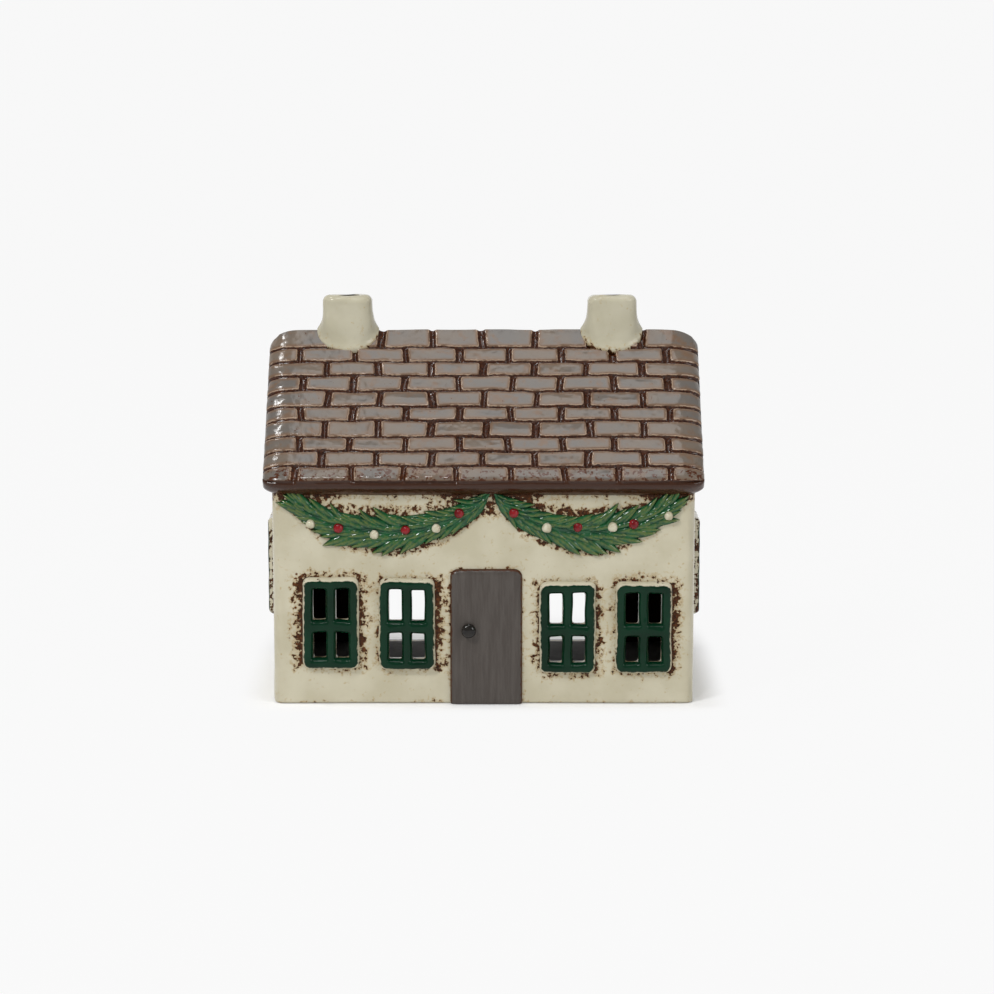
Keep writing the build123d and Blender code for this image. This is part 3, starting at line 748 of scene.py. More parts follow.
def front_rust(x, z):
    """How near a point of the front lies to a frame, the eave, the garland, the door or the ground."""
    near = np.zeros_like(x)
    for name, (middle, half) in front_frames.items():
        near = np.maximum(near, side_rust(x, z, middle, half, WINDOW_RUST[name]))
    clear = 0
    for low, high in CLEAR_STRIPS:
        clear = clear + smooth_step(x, low - 4, low + 4) * smooth_step(x, high + 4, high - 4)
    near = np.maximum(near, 1.02 - 0.34 * clear - (WALL_TOP - 2.4 - z) / 7.0)
    near = np.maximum(near, 0.66 - np.maximum(garland_distance(x, z), 0) / 4)
    near = np.maximum(near, 0.95 - np.hypot((x - SWAG_MEETING_X) / 3, (z - 69.0) / 4) / 2)
    near = np.maximum(near, 0.50 - np.maximum(box_distance(x, z, DOOR_MIDDLE, DOOR_HALF), 0) / 2.5)
    near = np.maximum(near, 0.36 - z / 6)
    return np.clip(near, 0, 1)


holes = [hole for middle, half in front_frames.values() for hole in pane_holes(middle, half, FRONT_PANE)]
hole_lines = np.array(holes)
us = lines(-HALF_LENGTH, HALF_LENGTH, 1.5, np.concatenate([hole_lines[:, 0], hole_lines[:, 1]]))
vs = lines(0.0, WALL_TOP, 1.5, np.concatenate([hole_lines[:, 2], hole_lines[:, 3], [0.8]]))
u, v = np.meshgrid(us, vs, indexing="ij")
face_y = FRONT_FACE + corner_turn(u) + 0.22 * sway(11, 45, u, v) + 0.06 * sway(12, 12, u, v)
sill_fall = SILL_FALL * smooth_step(v, 4.0, 9.0) * smooth_step(v, 62.0, 50.0)
inner_z = v * (1 + (wall_high[2] / WALL_TOP - 1) * smooth_step(v, 50.0, WALL_TOP)) - sill_fall
faces, used = pierced_slab(us, vs, holes)
wall_piece("front_wall", faces, used, (u, face_y, v), (u, FRONT_INSIDE, inner_z), front_rust(u, v))

# %% Back wall with its arch
ARCH_HALF = 41.0
ARCH_SPRING = 32.0
ARCH_RISE = 21.0
ARCH_CROWN = ARCH_SPRING + ARCH_RISE
ARCH_STEPS = 61
SIDE_STEPS = 22
HOLE_STEPS = 26
OVER_STEPS = 16
SHOULDER_EASE = 8.0
RAISE_START = 60.0
SILL = 5.0
BACK_FACE = -FRONT_FACE
BACK_INSIDE = -FRONT_INSIDE


def arch_top(x):
    """Height of the arch over x: half an ellipse on upright sides."""
    return ARCH_SPRING + ARCH_RISE * np.sqrt(np.clip(1 - (x / ARCH_HALF) ** 2, 0, 1))


# Below the spring the grid is straight; above it the rows follow the arch, so the hole is a block of cells.
bend = np.linspace(-np.pi / 2, np.pi / 2, ARCH_STEPS)
left_side = np.linspace(-HALF_LENGTH, -ARCH_HALF, SIDE_STEPS)[:-1]
right_side = np.linspace(ARCH_HALF, HALF_LENGTH, SIDE_STEPS)[1:]
us = np.concatenate([left_side, ARCH_HALF * np.sin(bend), right_side])
low_rows = np.array([0.0, 1.2, 2.6, 4.0, SILL])
hole_rows = np.linspace(SILL, ARCH_CROWN, HOLE_STEPS)[1:]
top_rows = np.linspace(ARCH_CROWN, WALL_TOP, OVER_STEPS)[1:]
vs = np.concatenate([low_rows, hole_rows, top_rows])
u, v = np.meshgrid(us, vs, indexing="ij")
in_arch = np.abs(u) <= ARCH_HALF
eased = ARCH_CROWN - ARCH_RISE * np.exp(-np.maximum(np.abs(u) - ARCH_HALF, 0) / SHOULDER_EASE)
crown = np.where(in_arch, arch_top(u), eased)
up = (v - SILL) / (ARCH_CROWN - SILL)
over = (v - ARCH_CROWN) / (WALL_TOP - ARCH_CROWN)
height = np.where(v <= ARCH_CROWN, SILL + up * (crown - SILL), crown + over * (WALL_TOP - crown))
height = np.where(v <= SILL, v, height)
face_y = BACK_FACE - corner_turn(u) - 0.22 * sway(13, 45, u, height) - 0.06 * sway(14, 12, u, height)
raised = np.maximum(height - RAISE_START, 0) / (WALL_TOP - RAISE_START)
inner_z = height * (1 + (wall_high[2] / WALL_TOP - 1) * raised)
beside = np.hypot(np.maximum(np.abs(u) - ARCH_HALF, 0), np.maximum(height - ARCH_SPRING, 0))
over_arch = np.where(height >= ARCH_SPRING, np.abs(height - arch_top(u)), np.maximum(SILL - height, 0))
arch_edge = np.where(in_arch, over_arch, beside)
near = np.maximum(0.85 - arch_edge / 5, 0.95 - (WALL_TOP - 1.5 - height) / 7)
near = np.clip(np.maximum(near, 0.42 - height / 6), 0, 1)
faces, used = pierced_slab(us, vs, [(-ARCH_HALF, ARCH_HALF, SILL, ARCH_CROWN)])
wall_piece("back_wall", faces, used, (u, face_y, height), (u, BACK_INSIDE, inner_z), near)

# %% Gable walls
GABLE_HALF = box_mm("left_gable_wall")[1][1]
GABLE_EAVE = 82.0
GABLE_APEX = 116.5
GABLE_THICKNESS = 5.5
GABLE_LEAN = 70
# The end walls run a little way into the front and back walls, so that no gap shows at the joint.
GABLE_LAP = 1.4


def gable_wall(side, name, frame_name):
    """An end wall: a slab whose upper rows lean in to the apex, pierced by its window."""
    middle, half = gable_frames[frame_name]
    holes = pane_holes(middle, half, GABLE_PANE)
    marks = np.array(holes)
    reach = GABLE_HALF + GABLE_LAP
    us = lines(-reach, reach, 1.6, np.concatenate([marks[:, 0], marks[:, 1], [0.0]]))
    vs = lines(0.0, GABLE_EAVE, 1.6, np.concatenate([marks[:, 2], marks[:, 3], [0.8]]))
    u, v = np.meshgrid(us, vs, indexing="ij")
    roof_line = GABLE_APEX - np.abs(u)
    climb = (v - GABLE_LEAN) / (GABLE_EAVE - GABLE_LEAN)
    height = np.where(v > GABLE_LEAN, GABLE_LEAN + climb * (roof_line - GABLE_LEAN), v)
    waves = 0.2 * sway(15 + side, 45, u, height) + 0.05 * sway(18 + side, 12, u, height)
    outer = (side * (HALF_LENGTH + waves), u, height)
    inner = (side * (HALF_LENGTH - GABLE_THICKNESS), u, height)
    near = side_rust(u, height, middle, half, (0.9, 0.9, 0.6, 0.6))
    near = np.maximum(near, 0.95 - (roof_line - 1.5 - height) / 9)
    near = np.clip(np.maximum(near, 0.42 - height / 6), 0, 1)
    faces, used = pierced_slab(us, vs, holes)
    wall_piece(name, faces, used, outer, inner, near)


gable_wall(-1, "left_gable_wall", "left_gable_window")
gable_wall(1, "right_gable_wall", "right_gable_window")

# %% [markdown]
# ## Window frames
# A frame is a slab of soft bars. The height of a bar is a quarter round of the distance to its nearest edge,
# so outer rim, mullion and transom all swell from thin edges to full middles, as rolled clay does.

# %% Window frames
FRAME_CORNER = 2.4


def round_corners(u, v, middle, half, radius):
    """Moves the points in each corner square of a rectangle onto a quarter disc, and leaves the rest."""
    off_u, off_v = u - middle[0], v - middle[1]
    a = np.clip((np.abs(off_u) - half[0] + radius) / radius, 0, 1)
    b = np.clip((np.abs(off_v) - half[1] + radius) / radius, 0, 1)
    in_corner = (a > 0) & (b > 0)
    new_u = half[0] - radius + radius * a * np.sqrt(1 - b**2 / 2)
    new_v = half[1] - radius + radius * b * np.sqrt(1 - a**2 / 2)
    u = np.where(in_corner, middle[0] + np.sign(off_u) * new_u, u)
    v = np.where(in_corner, middle[1] + np.sign(off_v) * new_v, v)
    return u, v


def frame_bars(middle, half, pane, relief, seed):
    """Grid of a frame: place on the wall, height above it and distance from the outer edge, less a band along
    the top that is partly painted highlight.
    """
    holes = pane_holes(middle, half, pane)
    marks = np.array(holes)
    us = lines(middle[0] - half[0], middle[0] + half[0], 0.8, np.concatenate([marks[:, 0], marks[:, 1]]))
    vs = lines(middle[1] - half[1], middle[1] + half[1], 0.8, np.concatenate([marks[:, 2], marks[:, 3]]))
    u, v = np.meshgrid(us, vs, indexing="ij")
    outer = -box_distance(u, v, middle, half, FRAME_CORNER)
    to_pane = np.full_like(u, 9.0)
    for left, right, low, high in holes:
        centre = ((left + right) / 2, (low + high) / 2)
        size = ((right - left) / 2, (high - low) / 2)
        to_pane = np.minimum(to_pane, np.maximum(box_distance(u, v, centre, size), 0))
    edge = np.clip(np.minimum(outer, to_pane) / 1.8, 0, 1)
    height = relief * (0.38 + 0.62 * np.sqrt(1 - (1 - edge) ** 2)) + 0.12 * sway(seed, 7, u, v)
    u, v = round_corners(u, v, middle, half, FRAME_CORNER)
    u = u + 0.16 * sway(seed + 1, 14, u, v)
    v = v + 0.16 * sway(seed + 2, 14, u, v)
    faces, used = pierced_slab(us, vs, holes)
    # Along the top the cream rim is widened: partly bare cream, partly painted highlight on the frame's top
    # edge.
    top_rim_and_highlight = 0.75 * smooth_step(v, middle[1] + half[1] - 3.0, middle[1] + half[1])
    return u, v, np.clip(height, 0, relief), np.maximum(outer, 0) - top_rim_and_highlight, faces, used


FRAME_ROOT = 0.5
ROOT_RIM = -0.6
GABLE_BARE = 0.4
FRONT_RELIEF = 2.6
FRONT_BURN = 0.30
GABLE_BURN = 0.58
for seed, (name, (middle, half)) in enumerate(front_frames.items(), start=30):
    u, v, height, outer, faces, used = frame_bars(middle, half, FRONT_PANE, FRONT_RELIEF, 10 * seed)
    values = {"rim": (outer, ROOT_RIM), "burn": (FRONT_BURN, FRONT_BURN)}
    skin, root = (u, FRONT_FACE - height, v), (u, FRONT_FACE + FRAME_ROOT, v)
    slab_piece(name, faces, used, skin, root, green_glaze, values, 2)

GABLE_RELIEF = 3.7
for side, (name, (middle, half)) in zip((-1, 1), gable_frames.items()):
    u, v, height, outer, faces, used = frame_bars(middle, half, GABLE_PANE, GABLE_RELIEF, 350 + 10 * side)
    values = {"rim": (outer - GABLE_BARE, ROOT_RIM), "burn": (GABLE_BURN, GABLE_BURN)}
    skin, root = (side * (HALF_LENGTH + height), u, v), (side * (HALF_LENGTH - FRAME_ROOT), u, v)
    slab_piece(name, faces, used, skin, root, green_glaze, values, 2)

# %% [markdown]
# ## Door and knob
# The door is a thin panel pressed on the wall, with soft edges. The knob is a small button of clay: a profile
# turned about an axis that points out of the door.

# %% Door
DOOR_RELIEF = door_high[1] - door_low[1]
us = lines(door_low[0], door_high[0], 1.0, [])
vs = lines(door_low[2], door_high[2], 1.0, [])
u, v = np.meshgrid(us, vs, indexing="ij")
# Only the upper corners are round, so the rounded panel is taken to run on below the ground.
DOOR_ROUND = 2.8
panel = ((DOOR_MIDDLE[0], DOOR_MIDDLE[1] - 5), (DOOR_HALF[0], DOOR_HALF[1] + 5), DOOR_ROUND)
outer = -box_distance(u, v, *panel)
soft = np.sqrt(1 - (1 - np.clip(outer / 1.4, 0, 1)) ** 2)
height = DOOR_RELIEF * (0.35 + 0.6 * soft) + 0.05 * sway(41, 9, u, v)
round_u, round_v = round_corners(u, v, *panel)
round_v = np.maximum(round_v, 0.05)
faces, used = pierced_slab(us, vs, [])
skin, root = (round_u, FRONT_FACE - height, round_v), (round_u, FRONT_FACE + FRAME_ROOT, round_v)
values = {"rim": (np.maximum(outer, 0), -0.5)}
slab_piece("front_door", faces, used, skin, root, door_glaze, values, 1)

# %% Turned pieces


def turned_piece(radii, along, columns):
    """Points of a profile carried round an axis: radius and place along the axis at every angle."""
    angle = np.linspace(0, 2 * np.pi, columns, endpoint=False)
    radius, place = np.asarray(radii)[:, None], np.asarray(along)[:, None]
    return np.broadcast_arrays(radius * np.cos(angle), radius * np.sin(angle), place)


KNOB_RINGS = 18
KNOB_SIDES = 28
knob_low, knob_high = box_mm("door_knob")
knob_middle = (knob_low + knob_high) / 2
bulge = np.linspace(0.02, np.pi - 0.35, KNOB_RINGS)
knob_radius = (knob_high[0] - knob_low[0]) / 2
knob_length = knob_high[1] - knob_low[1]
radii = knob_radius * np.sin(bulge)
out = knob_low[1] + knob_length * (1 - np.cos(bulge)) / (1 - np.cos(bulge[-1]))
ring_x, ring_z, ring_y = turned_piece(radii, out, KNOB_SIDES)
rings = np.stack([knob_middle[0] + ring_x, ring_y, knob_middle[2] + ring_z], axis=-1)
tube_piece("door_knob_clay", rings, knob_glaze, "door_knob")

# %% [markdown]
# ## Roof slopes
# This is the piece that takes the most skill. A slope is one closed section, from the ridge down over the
# rounded eave and back underneath, carried along the house. Tiles are a height on top of it: the distance to
# the nearest joint, with soft corners, lifts a flat pad out of the joints. Each tile has its own width, tilt
# and wobble, because the potter pressed them by hand.

# %% Tile field
TILE_LENGTH = 18.1
TILE_COURSES = 10
COURSE_HEIGHT = 6.436
COURSE_GAP = 0.46
TILE_SINK = 1.15
PAD_ROUND = 0.50
VALLEY = 1.05
LAST_JOINT = 68.0
RIDGE_SEED = 77
TILE_DRAWS = 24
MIDDLE_TILE = 12
NO_JOINT = 9
CORNER_SHARPNESS = 4.0


def tile_field(p, x, seed):
    """Distance to the nearest joint and the lift of each tile; p runs down the slope, x along it.

    A course keeps the smaller of the distances to its two bed joints and its nearest upright joint, by a
    soft minimum that rounds the tile's corners. The field is the largest of all courses.
    """
    steps = np.random.default_rng(seed).uniform(-0.55, 0.55, TILE_COURSES + 1)
    steps[-1] = 0.0
    beds = [
        k * COURSE_HEIGHT + steps[k] + 0.28 * sway(seed + k, 40, x) + 0.12 * sway(seed + 50 + k, 11, x)
        for k in range(TILE_COURSES + 1)
    ]
    beds[0] = np.full_like(x, -9.0)
    distance = np.full(np.broadcast(p, x).shape, -2.0)
    lift = np.zeros_like(distance)
    for course in range(TILE_COURSES):
        shift = TILE_LENGTH / 2 * (course % 2)
        random = np.random.default_rng(seed + course if course else RIDGE_SEED)
        slips = random.uniform(-0.9, 0.9, TILE_DRAWS)
        widths = random.uniform(0.95, 1.5, TILE_DRAWS)
        leans = random.uniform(-0.12, 0.12, TILE_DRAWS)
        lifts = random.uniform(-0.22, 0.0, TILE_DRAWS)
        tilts = random.uniform(-0.07, 0.12, TILE_DRAWS)
        k = np.round((x - shift) / TILE_LENGTH).astype(int) + MIDDLE_TILE
        along = p - (course + 0.5) * COURSE_HEIGHT
        centre = shift + (k - MIDDLE_TILE) * TILE_LENGTH + slips[k] + leans[k] * along
        upright = np.abs(x - centre) - widths[k] + NO_JOINT * (np.abs(centre) > LAST_JOINT)
        tile = k - (x < centre)
        above = p - beds[course] - COURSE_GAP
        below = beds[course + 1] - p - COURSE_GAP
        nearness = sum(np.exp(-CORNER_SHARPNESS * side) for side in (above, below, upright))
        soft = -np.log(nearness) / CORNER_SHARPNESS
        lift = np.where(soft > distance, lifts[tile] + tilts[tile] * along, lift)
        distance = np.maximum(distance, np.clip(soft, -2.0, 4.0))
    return distance, lift


print("tiles:", TILE_COURSES, "courses of", round(COURSE_HEIGHT, 2), "mm")

# %% Roof slopes
SLAB_APEX = 123.29
TOP_HEIGHT = 1.2
UNDER_HEIGHT = -4.8
NOSE_START = 60.9
NOSE_REACH = 3.9
NOSE_SQUARE = 0.75
LIP_DROP = 4.4
VERGE_FLAT = 65.5
VERGE_ROUND = 9.5
VERGE_FALL = 3.5
RIDGE_RELIEF = 0.35
RIDGE_SOFT = 2.5
ROOF_SLANT = np.sqrt(0.5)
TOP_STEPS = 170
NOSE_STEPS = 22
UNDER_STEPS = 8
INNER_STEPS = 3
VERGE_STEPS = 10
ROOF_COLUMNS = 396
DROOP = 1.2
DROOP_START = 58
DROOP_LENGTH = 17
DROOP_REACH = 9


def roof_section():
    """Closed section of a slope: place down the slope, height over it, outward normal and path length.

    The eave is half a squarish oval, and its lower half hangs lower than the slab as a lip.
    """
    top = np.linspace(-TOP_HEIGHT, NOSE_START, TOP_STEPS)
    nose = np.linspace(0, np.pi, NOSE_STEPS)[1:]
    under = np.linspace(NOSE_START - 3.0, -UNDER_HEIGHT, UNDER_STEPS)
    inner = np.linspace(-UNDER_HEIGHT, -TOP_HEIGHT, INNER_STEPS + 2)[1:-1]
    middle = (TOP_HEIGHT + UNDER_HEIGHT) / 2
    upward = TOP_HEIGHT - middle
    reach = NOSE_REACH * np.abs(np.sin(nose)) ** NOSE_SQUARE
    swell = np.sign(np.cos(nose)) * np.abs(np.cos(nose)) ** NOSE_SQUARE
    bow = middle + np.where(swell > 0, upward, upward + LIP_DROP) * swell
    s = np.concatenate([top, NOSE_START + reach, under, inner])
    h = np.concatenate([np.full_like(top, TOP_HEIGHT), bow, np.full_like(under, UNDER_HEIGHT), -inner])
    normal_s = np.concatenate([0 * top, np.sin(nose), 0 * under, 0 * inner])
    normal_h = np.concatenate([np.ones_like(top), np.cos(nose), -np.ones_like(under), 0 * inner])
    path = np.concatenate([top, NOSE_START + NOSE_REACH * nose, np.full(UNDER_STEPS + INNER_STEPS, 99.0)])
    return s, h, normal_s, normal_h, path


def roof_slope(side, name, seed):
    """A slope from its section: round verges, a ridge that droops at its ends, and tiles that stand out."""
    turn = np.linspace(0, np.pi / 2, VERGE_STEPS)[1:]
    end = VERGE_FLAT + VERGE_ROUND * np.sin(turn)
    xs = np.concatenate([-end[::-1], np.linspace(-VERGE_FLAT, VERGE_FLAT, ROOF_COLUMNS), end])
    fall = np.concatenate([(1 - np.cos(turn))[::-1], np.zeros(ROOF_COLUMNS), 1 - np.cos(turn)])
    aside = np.concatenate([-np.sin(turn)[::-1], np.zeros(ROOF_COLUMNS), np.sin(turn)])
    s, h, normal_s, normal_h, path = (row[:, None] for row in roof_section())
    x = np.broadcast_to(xs[None, :], (len(s), len(xs)))
    distance, lift = tile_field(np.broadcast_to(path, x.shape), x, seed)
    on_top = path < 90
    depth = np.sin(np.pi / 2 * np.clip((PAD_ROUND - distance) / (PAD_ROUND + VALLEY), 0, 1)) ** 2
    ridge_share = RIDGE_RELIEF + (1 - RIDGE_RELIEF) * smooth_step(path, -TOP_HEIGHT, RIDGE_SOFT)
    relief = np.where(on_top, (lift - TILE_SINK * depth) * ridge_share, 0)
    relief = relief * smooth_step(path, NOSE_START + 1.6 * NOSE_REACH, NOSE_START + 0.8 * NOSE_REACH)
    inward = np.where(on_top, VERGE_FALL * fall, np.where(normal_h < 0, 0.8 * fall, 0))
    waves = 0.12 * sway(RIDGE_SEED, 30, x, np.broadcast_to(path, x.shape)) * on_top
    offset = np.minimum(np.minimum(relief, 0) - inward + waves, 0)
    towards_end = np.clip((np.abs(x) - DROOP_START) / DROOP_LENGTH, 0, 1) ** 2.2
    droop = DROOP * towards_end * np.exp(-((path / DROOP_REACH) ** 2)) * on_top
    crest = 0.1 * np.exp(-(((path + TOP_HEIGHT) / 1.6) ** 2)) * on_top
    along = s + normal_s * offset
    high = h + normal_h * offset - crest - droop * ROOF_SLANT
    mitre = np.where(on_top, 0.02 * (s + TOP_HEIGHT) - high, along)
    along = np.maximum(along, mitre)
    y = side * ROOF_SLANT * (along + high)
    y = np.where((s <= -TOP_HEIGHT) | (normal_h + normal_s == 0), 0.0, y)
    z = SLAB_APEX + ROOF_SLANT * (high - along)
    climb = np.linspace(0, 1, INNER_STEPS + 2)[1:-1, None]
    last = z[-INNER_STEPS - 1]
    z[-INNER_STEPS:] = last + climb * (z[0] - last)
    points = np.stack(np.broadcast_arrays(x + aside * np.minimum(relief, 0), y, z), axis=-1)
    rings = points.transpose(1, 0, 2)
    pad = np.where(on_top, distance, -1.0).T
    eave = np.where(on_top, smooth_step(path, 54, 60) + smooth_step(path, 62.4, 65.2), 2.0)
    values = {"pad": pad, "eave": np.broadcast_to(eave, x.shape).T}
    tube_piece(name + "_clay", rings, roof_glaze, name, values=values)


roof_slope(-1, "front_roof_slope", 500)
roof_slope(1, "rear_roof_slope", 700)

# %% [markdown]
# ## Chimneys
# Each chimney is a block with very soft corners, a rounded top round the flue and a foot where the glaze has
# run out over the tiles. It is a rounded rectangle carried up the stack, over the top and down the flue.

# %% Chimneys
FOOT_SQUARENESS = 2.1
TOP_SQUARENESS = 3.9
CHIMNEY_HALF = (8.55, 5.7)
FLUE_RADIUS = 4.0
FLUE_FLOOR = 119.0
TOP_ROUND = 2.3
FOOT_FLARE = 2.0
FOOT_RISE = 2.4
FOOT_LIFT = 1.9
FOOT_SKIRT = 1.8
STACK_SIDES = 96
STACK_RINGS = 34
SHOULDER_RINGS = 12
RIM_RINGS = 10
FLUE_RINGS = 8


def chimney(name, seed):
    """A stack of rings: a flared foot that follows both slopes, soft sides, a rounded top and the flue."""
    low, high = box_mm(name)
    middle = (low[0] + high[0]) / 2
    angle = np.linspace(0, 2 * np.pi, STACK_SIDES, endpoint=False)
    rise = np.linspace(0, 1, STACK_RINGS) ** 1.6
    power = (2 / (FOOT_SQUARENESS + (TOP_SQUARENESS - FOOT_SQUARENESS) * smooth_step(rise, 0, 0.5)))[:, None]
    grow_x = np.sign(np.cos(angle)) * np.abs(np.cos(angle)) ** power
    grow_y = np.sign(np.sin(angle)) * np.abs(np.sin(angle)) ** power
    unit_x, unit_y = grow_x[-1], grow_y[-1]
    over = np.linspace(0, np.pi / 2, SHOULDER_RINGS)[1:]
    rim = np.linspace(0, 1, RIM_RINGS)[1:]
    sink = np.linspace(0, 1, FLUE_RINGS)[1:]
    foot = SLAB_APEX + FOOT_LIFT - np.abs(grow_y[0]) * (CHIMNEY_HALF[1] + 0.6)
    shoulder = high[2] - TOP_ROUND
    side_z = foot + (shoulder - foot) * rise[:, None]
    flare = 0.25 * (1 - rise)[:, None] + FOOT_FLARE * np.exp(-(((side_z - foot) / FOOT_RISE) ** 1.2))
    side_x = (CHIMNEY_HALF[0] + flare) * grow_x
    side_y = (CHIMNEY_HALF[1] + 0.45 * flare) * grow_y
    tuck = TOP_ROUND * (1 - np.cos(over))[:, None]
    top_x, top_y = (CHIMNEY_HALF[0] - tuck) * unit_x, (CHIMNEY_HALF[1] - tuck) * unit_y
    top_z = (shoulder + TOP_ROUND * np.sin(over))[:, None] + 0 * unit_x
    flue_x, flue_y = FLUE_RADIUS * np.cos(angle), FLUE_RADIUS * np.sin(angle)
    rim_x = top_x[-1] + (flue_x - top_x[-1]) * rim[:, None]
    rim_y = top_y[-1] + (flue_y - top_y[-1]) * rim[:, None]
    rim_z = high[2] - 0.2 * rim[:, None] ** 3 + 0 * unit_x
    sink_z = rim_z[-1] + (FLUE_FLOOR - rim_z[-1]) * sink[:, None]
    x = np.concatenate([side_x[:1], side_x, top_x, rim_x, np.broadcast_to(flue_x, sink_z.shape)])
    y = np.concatenate([side_y[:1], side_y, top_y, rim_y, np.broadcast_to(flue_y, sink_z.shape)])
    z = np.concatenate([side_z[:1] - FOOT_SKIRT, side_z, top_z, rim_z, sink_z])
    x = x + 0.15 * sway(seed, 14, x, y, z)
    y = y + 0.15 * sway(seed + 1, 14, x, y, z)
    lean = 0.45 * smooth_step(y, -FLUE_RADIUS, FLUE_RADIUS) + 0.2 * (1 + sway(seed + 2, 11, x, y))
    z = np.minimum(z - lean * (z > shoulder), high[2])
    near = np.clip(0.34 - (z - foot) / 5, 0, 1)
    inside = np.zeros_like(z)
    inside[-len(sink_z) - 1:] = 1.0
    rings = np.stack([middle + x, y, z], axis=-1)
    values = {"near": near, "inside": inside}
    tube_piece(name + "_clay", rings, chimney_shaded_glaze, name, values=values)


chimney("left_chimney", 61)
chimney("right_chimney", 64)

# %% [markdown]
# ## Garland
# Each swag is a low mound along the arc, covered with pointed leaves in four rows: upper leaves that point
# up and outwards, lower leaves that hang, and two rows of short ones along the stem. Every leaf is a tube
# with pinched ends and a crest, and all leaves of a swag are computed at once.

# %% Leaves
LEAF_ROWS = (
    # spread in degrees, number, length, half width, height over the wall, lift of the base line
    {"spread": 31, "count": 30, "length": 11.0, "half": 1.35, "height": 1.9, "rise": 1.0},
    {"spread": -26, "count": 28, "length": 11.5, "half": 1.6, "height": 1.75, "rise": -1.6},
    {"spread": 12, "count": 26, "length": 9.5, "half": 1.3, "height": 2.2, "rise": 0.7},
    {"spread": -9, "count": 26, "length": 9.5, "half": 1.4, "height": 2.1, "rise": -0.8},
)
LEAF_STEPS = 14
LEAF_SIDES = 12
MOUND_STEPS = 60
MOUND_SIDES = 14


def leaf_row(direction, row, seed):
    """Points of a row of leaves: a midrib that bends, with a crested oval section that narrows to the tip."""
    random = np.random.default_rng(seed)
    count = row["count"]
    t = np.linspace(-0.015, 0.93, count) + random.uniform(-0.008, 0.008, count)
    base_x, base_z, angle = swag_arc(direction, t)
    fullness = np.sqrt(np.sin(np.pi * np.clip(0.9 * t, 0.02, 0.98)))
    size = (0.42 + 0.58 * fullness) * random.uniform(0.85, 1.12, count)
    outer = smooth_step(t, 0.60, 0.95)
    spread = np.radians(row["spread"] * (1 - 0.6 * outer) + random.uniform(-7, 7, count))
    bend = np.radians(random.uniform(-14, 14, count))
    base_z = base_z + swag_lift(t)
    angle = angle + 0.2 * outer
    s = np.linspace(0, 1, LEAF_STEPS)
    heading = (angle + spread)[:, None] + bend[:, None] * s
    length = (row["length"] * size)[:, None]
    run = np.cumsum(np.cos(heading), axis=1) / LEAF_STEPS * length
    climb = np.cumsum(np.sin(heading), axis=1) / LEAF_STEPS * length
    rib_x = base_x[:, None] + direction * run
    rib_z = base_z[:, None] + row["rise"] * size[:, None] + climb
    taper = np.sin(np.pi * s**0.75) ** 0.8 + 0.03
    half = row["half"] * size[:, None] * taper
    rise = row["height"] * (0.7 + 0.3 * size[:, None]) * (np.sin(np.pi * (0.12 + 0.8 * s)) ** 0.5)
    around = np.linspace(0, 2 * np.pi, LEAF_SIDES, endpoint=False)
    across = np.cos(around)
    up = np.where(np.sin(around) > 0, np.sin(around), 0.35 * np.sin(around))
    x = rib_x[..., None] - direction * np.sin(heading)[..., None] * half[..., None] * across
    z = rib_z[..., None] + np.cos(heading)[..., None] * half[..., None] * across
    out = rise[..., None] * (0.3 + 0.7 * np.maximum(up, 0) ** 1.3)
    out = np.where(up < 0, -0.3, out)
    rib = np.clip(up, 0, 1) ** 3 * (0.35 + 0.45 * s[:, None])
    crest = 0.3 + rib + 0.2 * smooth_step(s, 0.75, 1)[:, None]
    points = np.stack(np.broadcast_arrays(x, FRONT_FACE - out, z), axis=-1)
    return points, np.broadcast_to(crest, x.shape)


def mound(direction):
    """The low mound under the leaves: an oval section carried along the arc."""
    t = np.linspace(-0.028, 0.95, MOUND_STEPS)
    x, z, angle = swag_arc(direction, t)
    half = 0.72 * swag_half_width(t) * (0.3 + 0.7 * smooth_step(t, -0.028, 0.05))
    z = z + swag_lift(t)
    around = np.linspace(0, 2 * np.pi, MOUND_SIDES, endpoint=False)
    across = np.cos(around)
    out = np.where(np.sin(around) > 0, 1.35 * np.sin(around), -0.3)
    px = x[:, None] - direction * np.sin(angle)[:, None] * half[:, None] * across
    pz = z[:, None] + np.cos(angle)[:, None] * half[:, None] * across
    return np.stack(np.broadcast_arrays(px, FRONT_FACE - out, pz), axis=-1)


def garland(direction, name, seed):
    """One swag of all its rows, with the leaves' faces counted on from row to row."""
    body = mound(direction)
    points = [body.reshape(-1, 3)]
    crest = [np.full(body[..., 0].size, 0.34)]
    quads = [grid_faces(*body.shape[:2], wrap=True)]
    caps = end_caps(*body.shape[:2])
    total = len(points[0])
    leaf_quads = grid_faces(LEAF_STEPS, LEAF_SIDES, wrap=True)
    leaf_caps = np.array(end_caps(LEAF_STEPS, LEAF_SIDES))
    for number, row in enumerate(LEAF_ROWS):
        leaves, ridge = leaf_row(direction, row, seed + number)
        starts = total + np.arange(len(leaves)) * LEAF_STEPS * LEAF_SIDES
        points.append(leaves.reshape(-1, 3))
        crest.append(ridge.ravel())
        quads.append((leaf_quads[None] + starts[:, None, None]).reshape(-1, 4))
        caps.extend((leaf_caps[None] + starts[:, None, None]).reshape(-1, LEAF_SIDES))
        total += leaves[..., 0].size
    points, quads = np.concatenate(points), np.concatenate(quads)
    values = {"crest": np.concatenate(crest)}
    make_piece(name + "_clay", points, quads, caps, leaf_glaze, [name], values=values)


garland(-1, "left_garland", 81)
garland(1, "right_garland", 91)

# %% [markdown]
# ## Berries
# Little balls of clay, pressed into the leaves. Each one is a sphere that the maker's fingers left a bit
# uneven. All berries of a colour are one piece, as they are one node in the frame.

# %% Berries
BERRY_RADIUS = 1.65
BERRY_OUT = 1.85
BERRY_RINGS = 16
BERRY_SIDES = 24
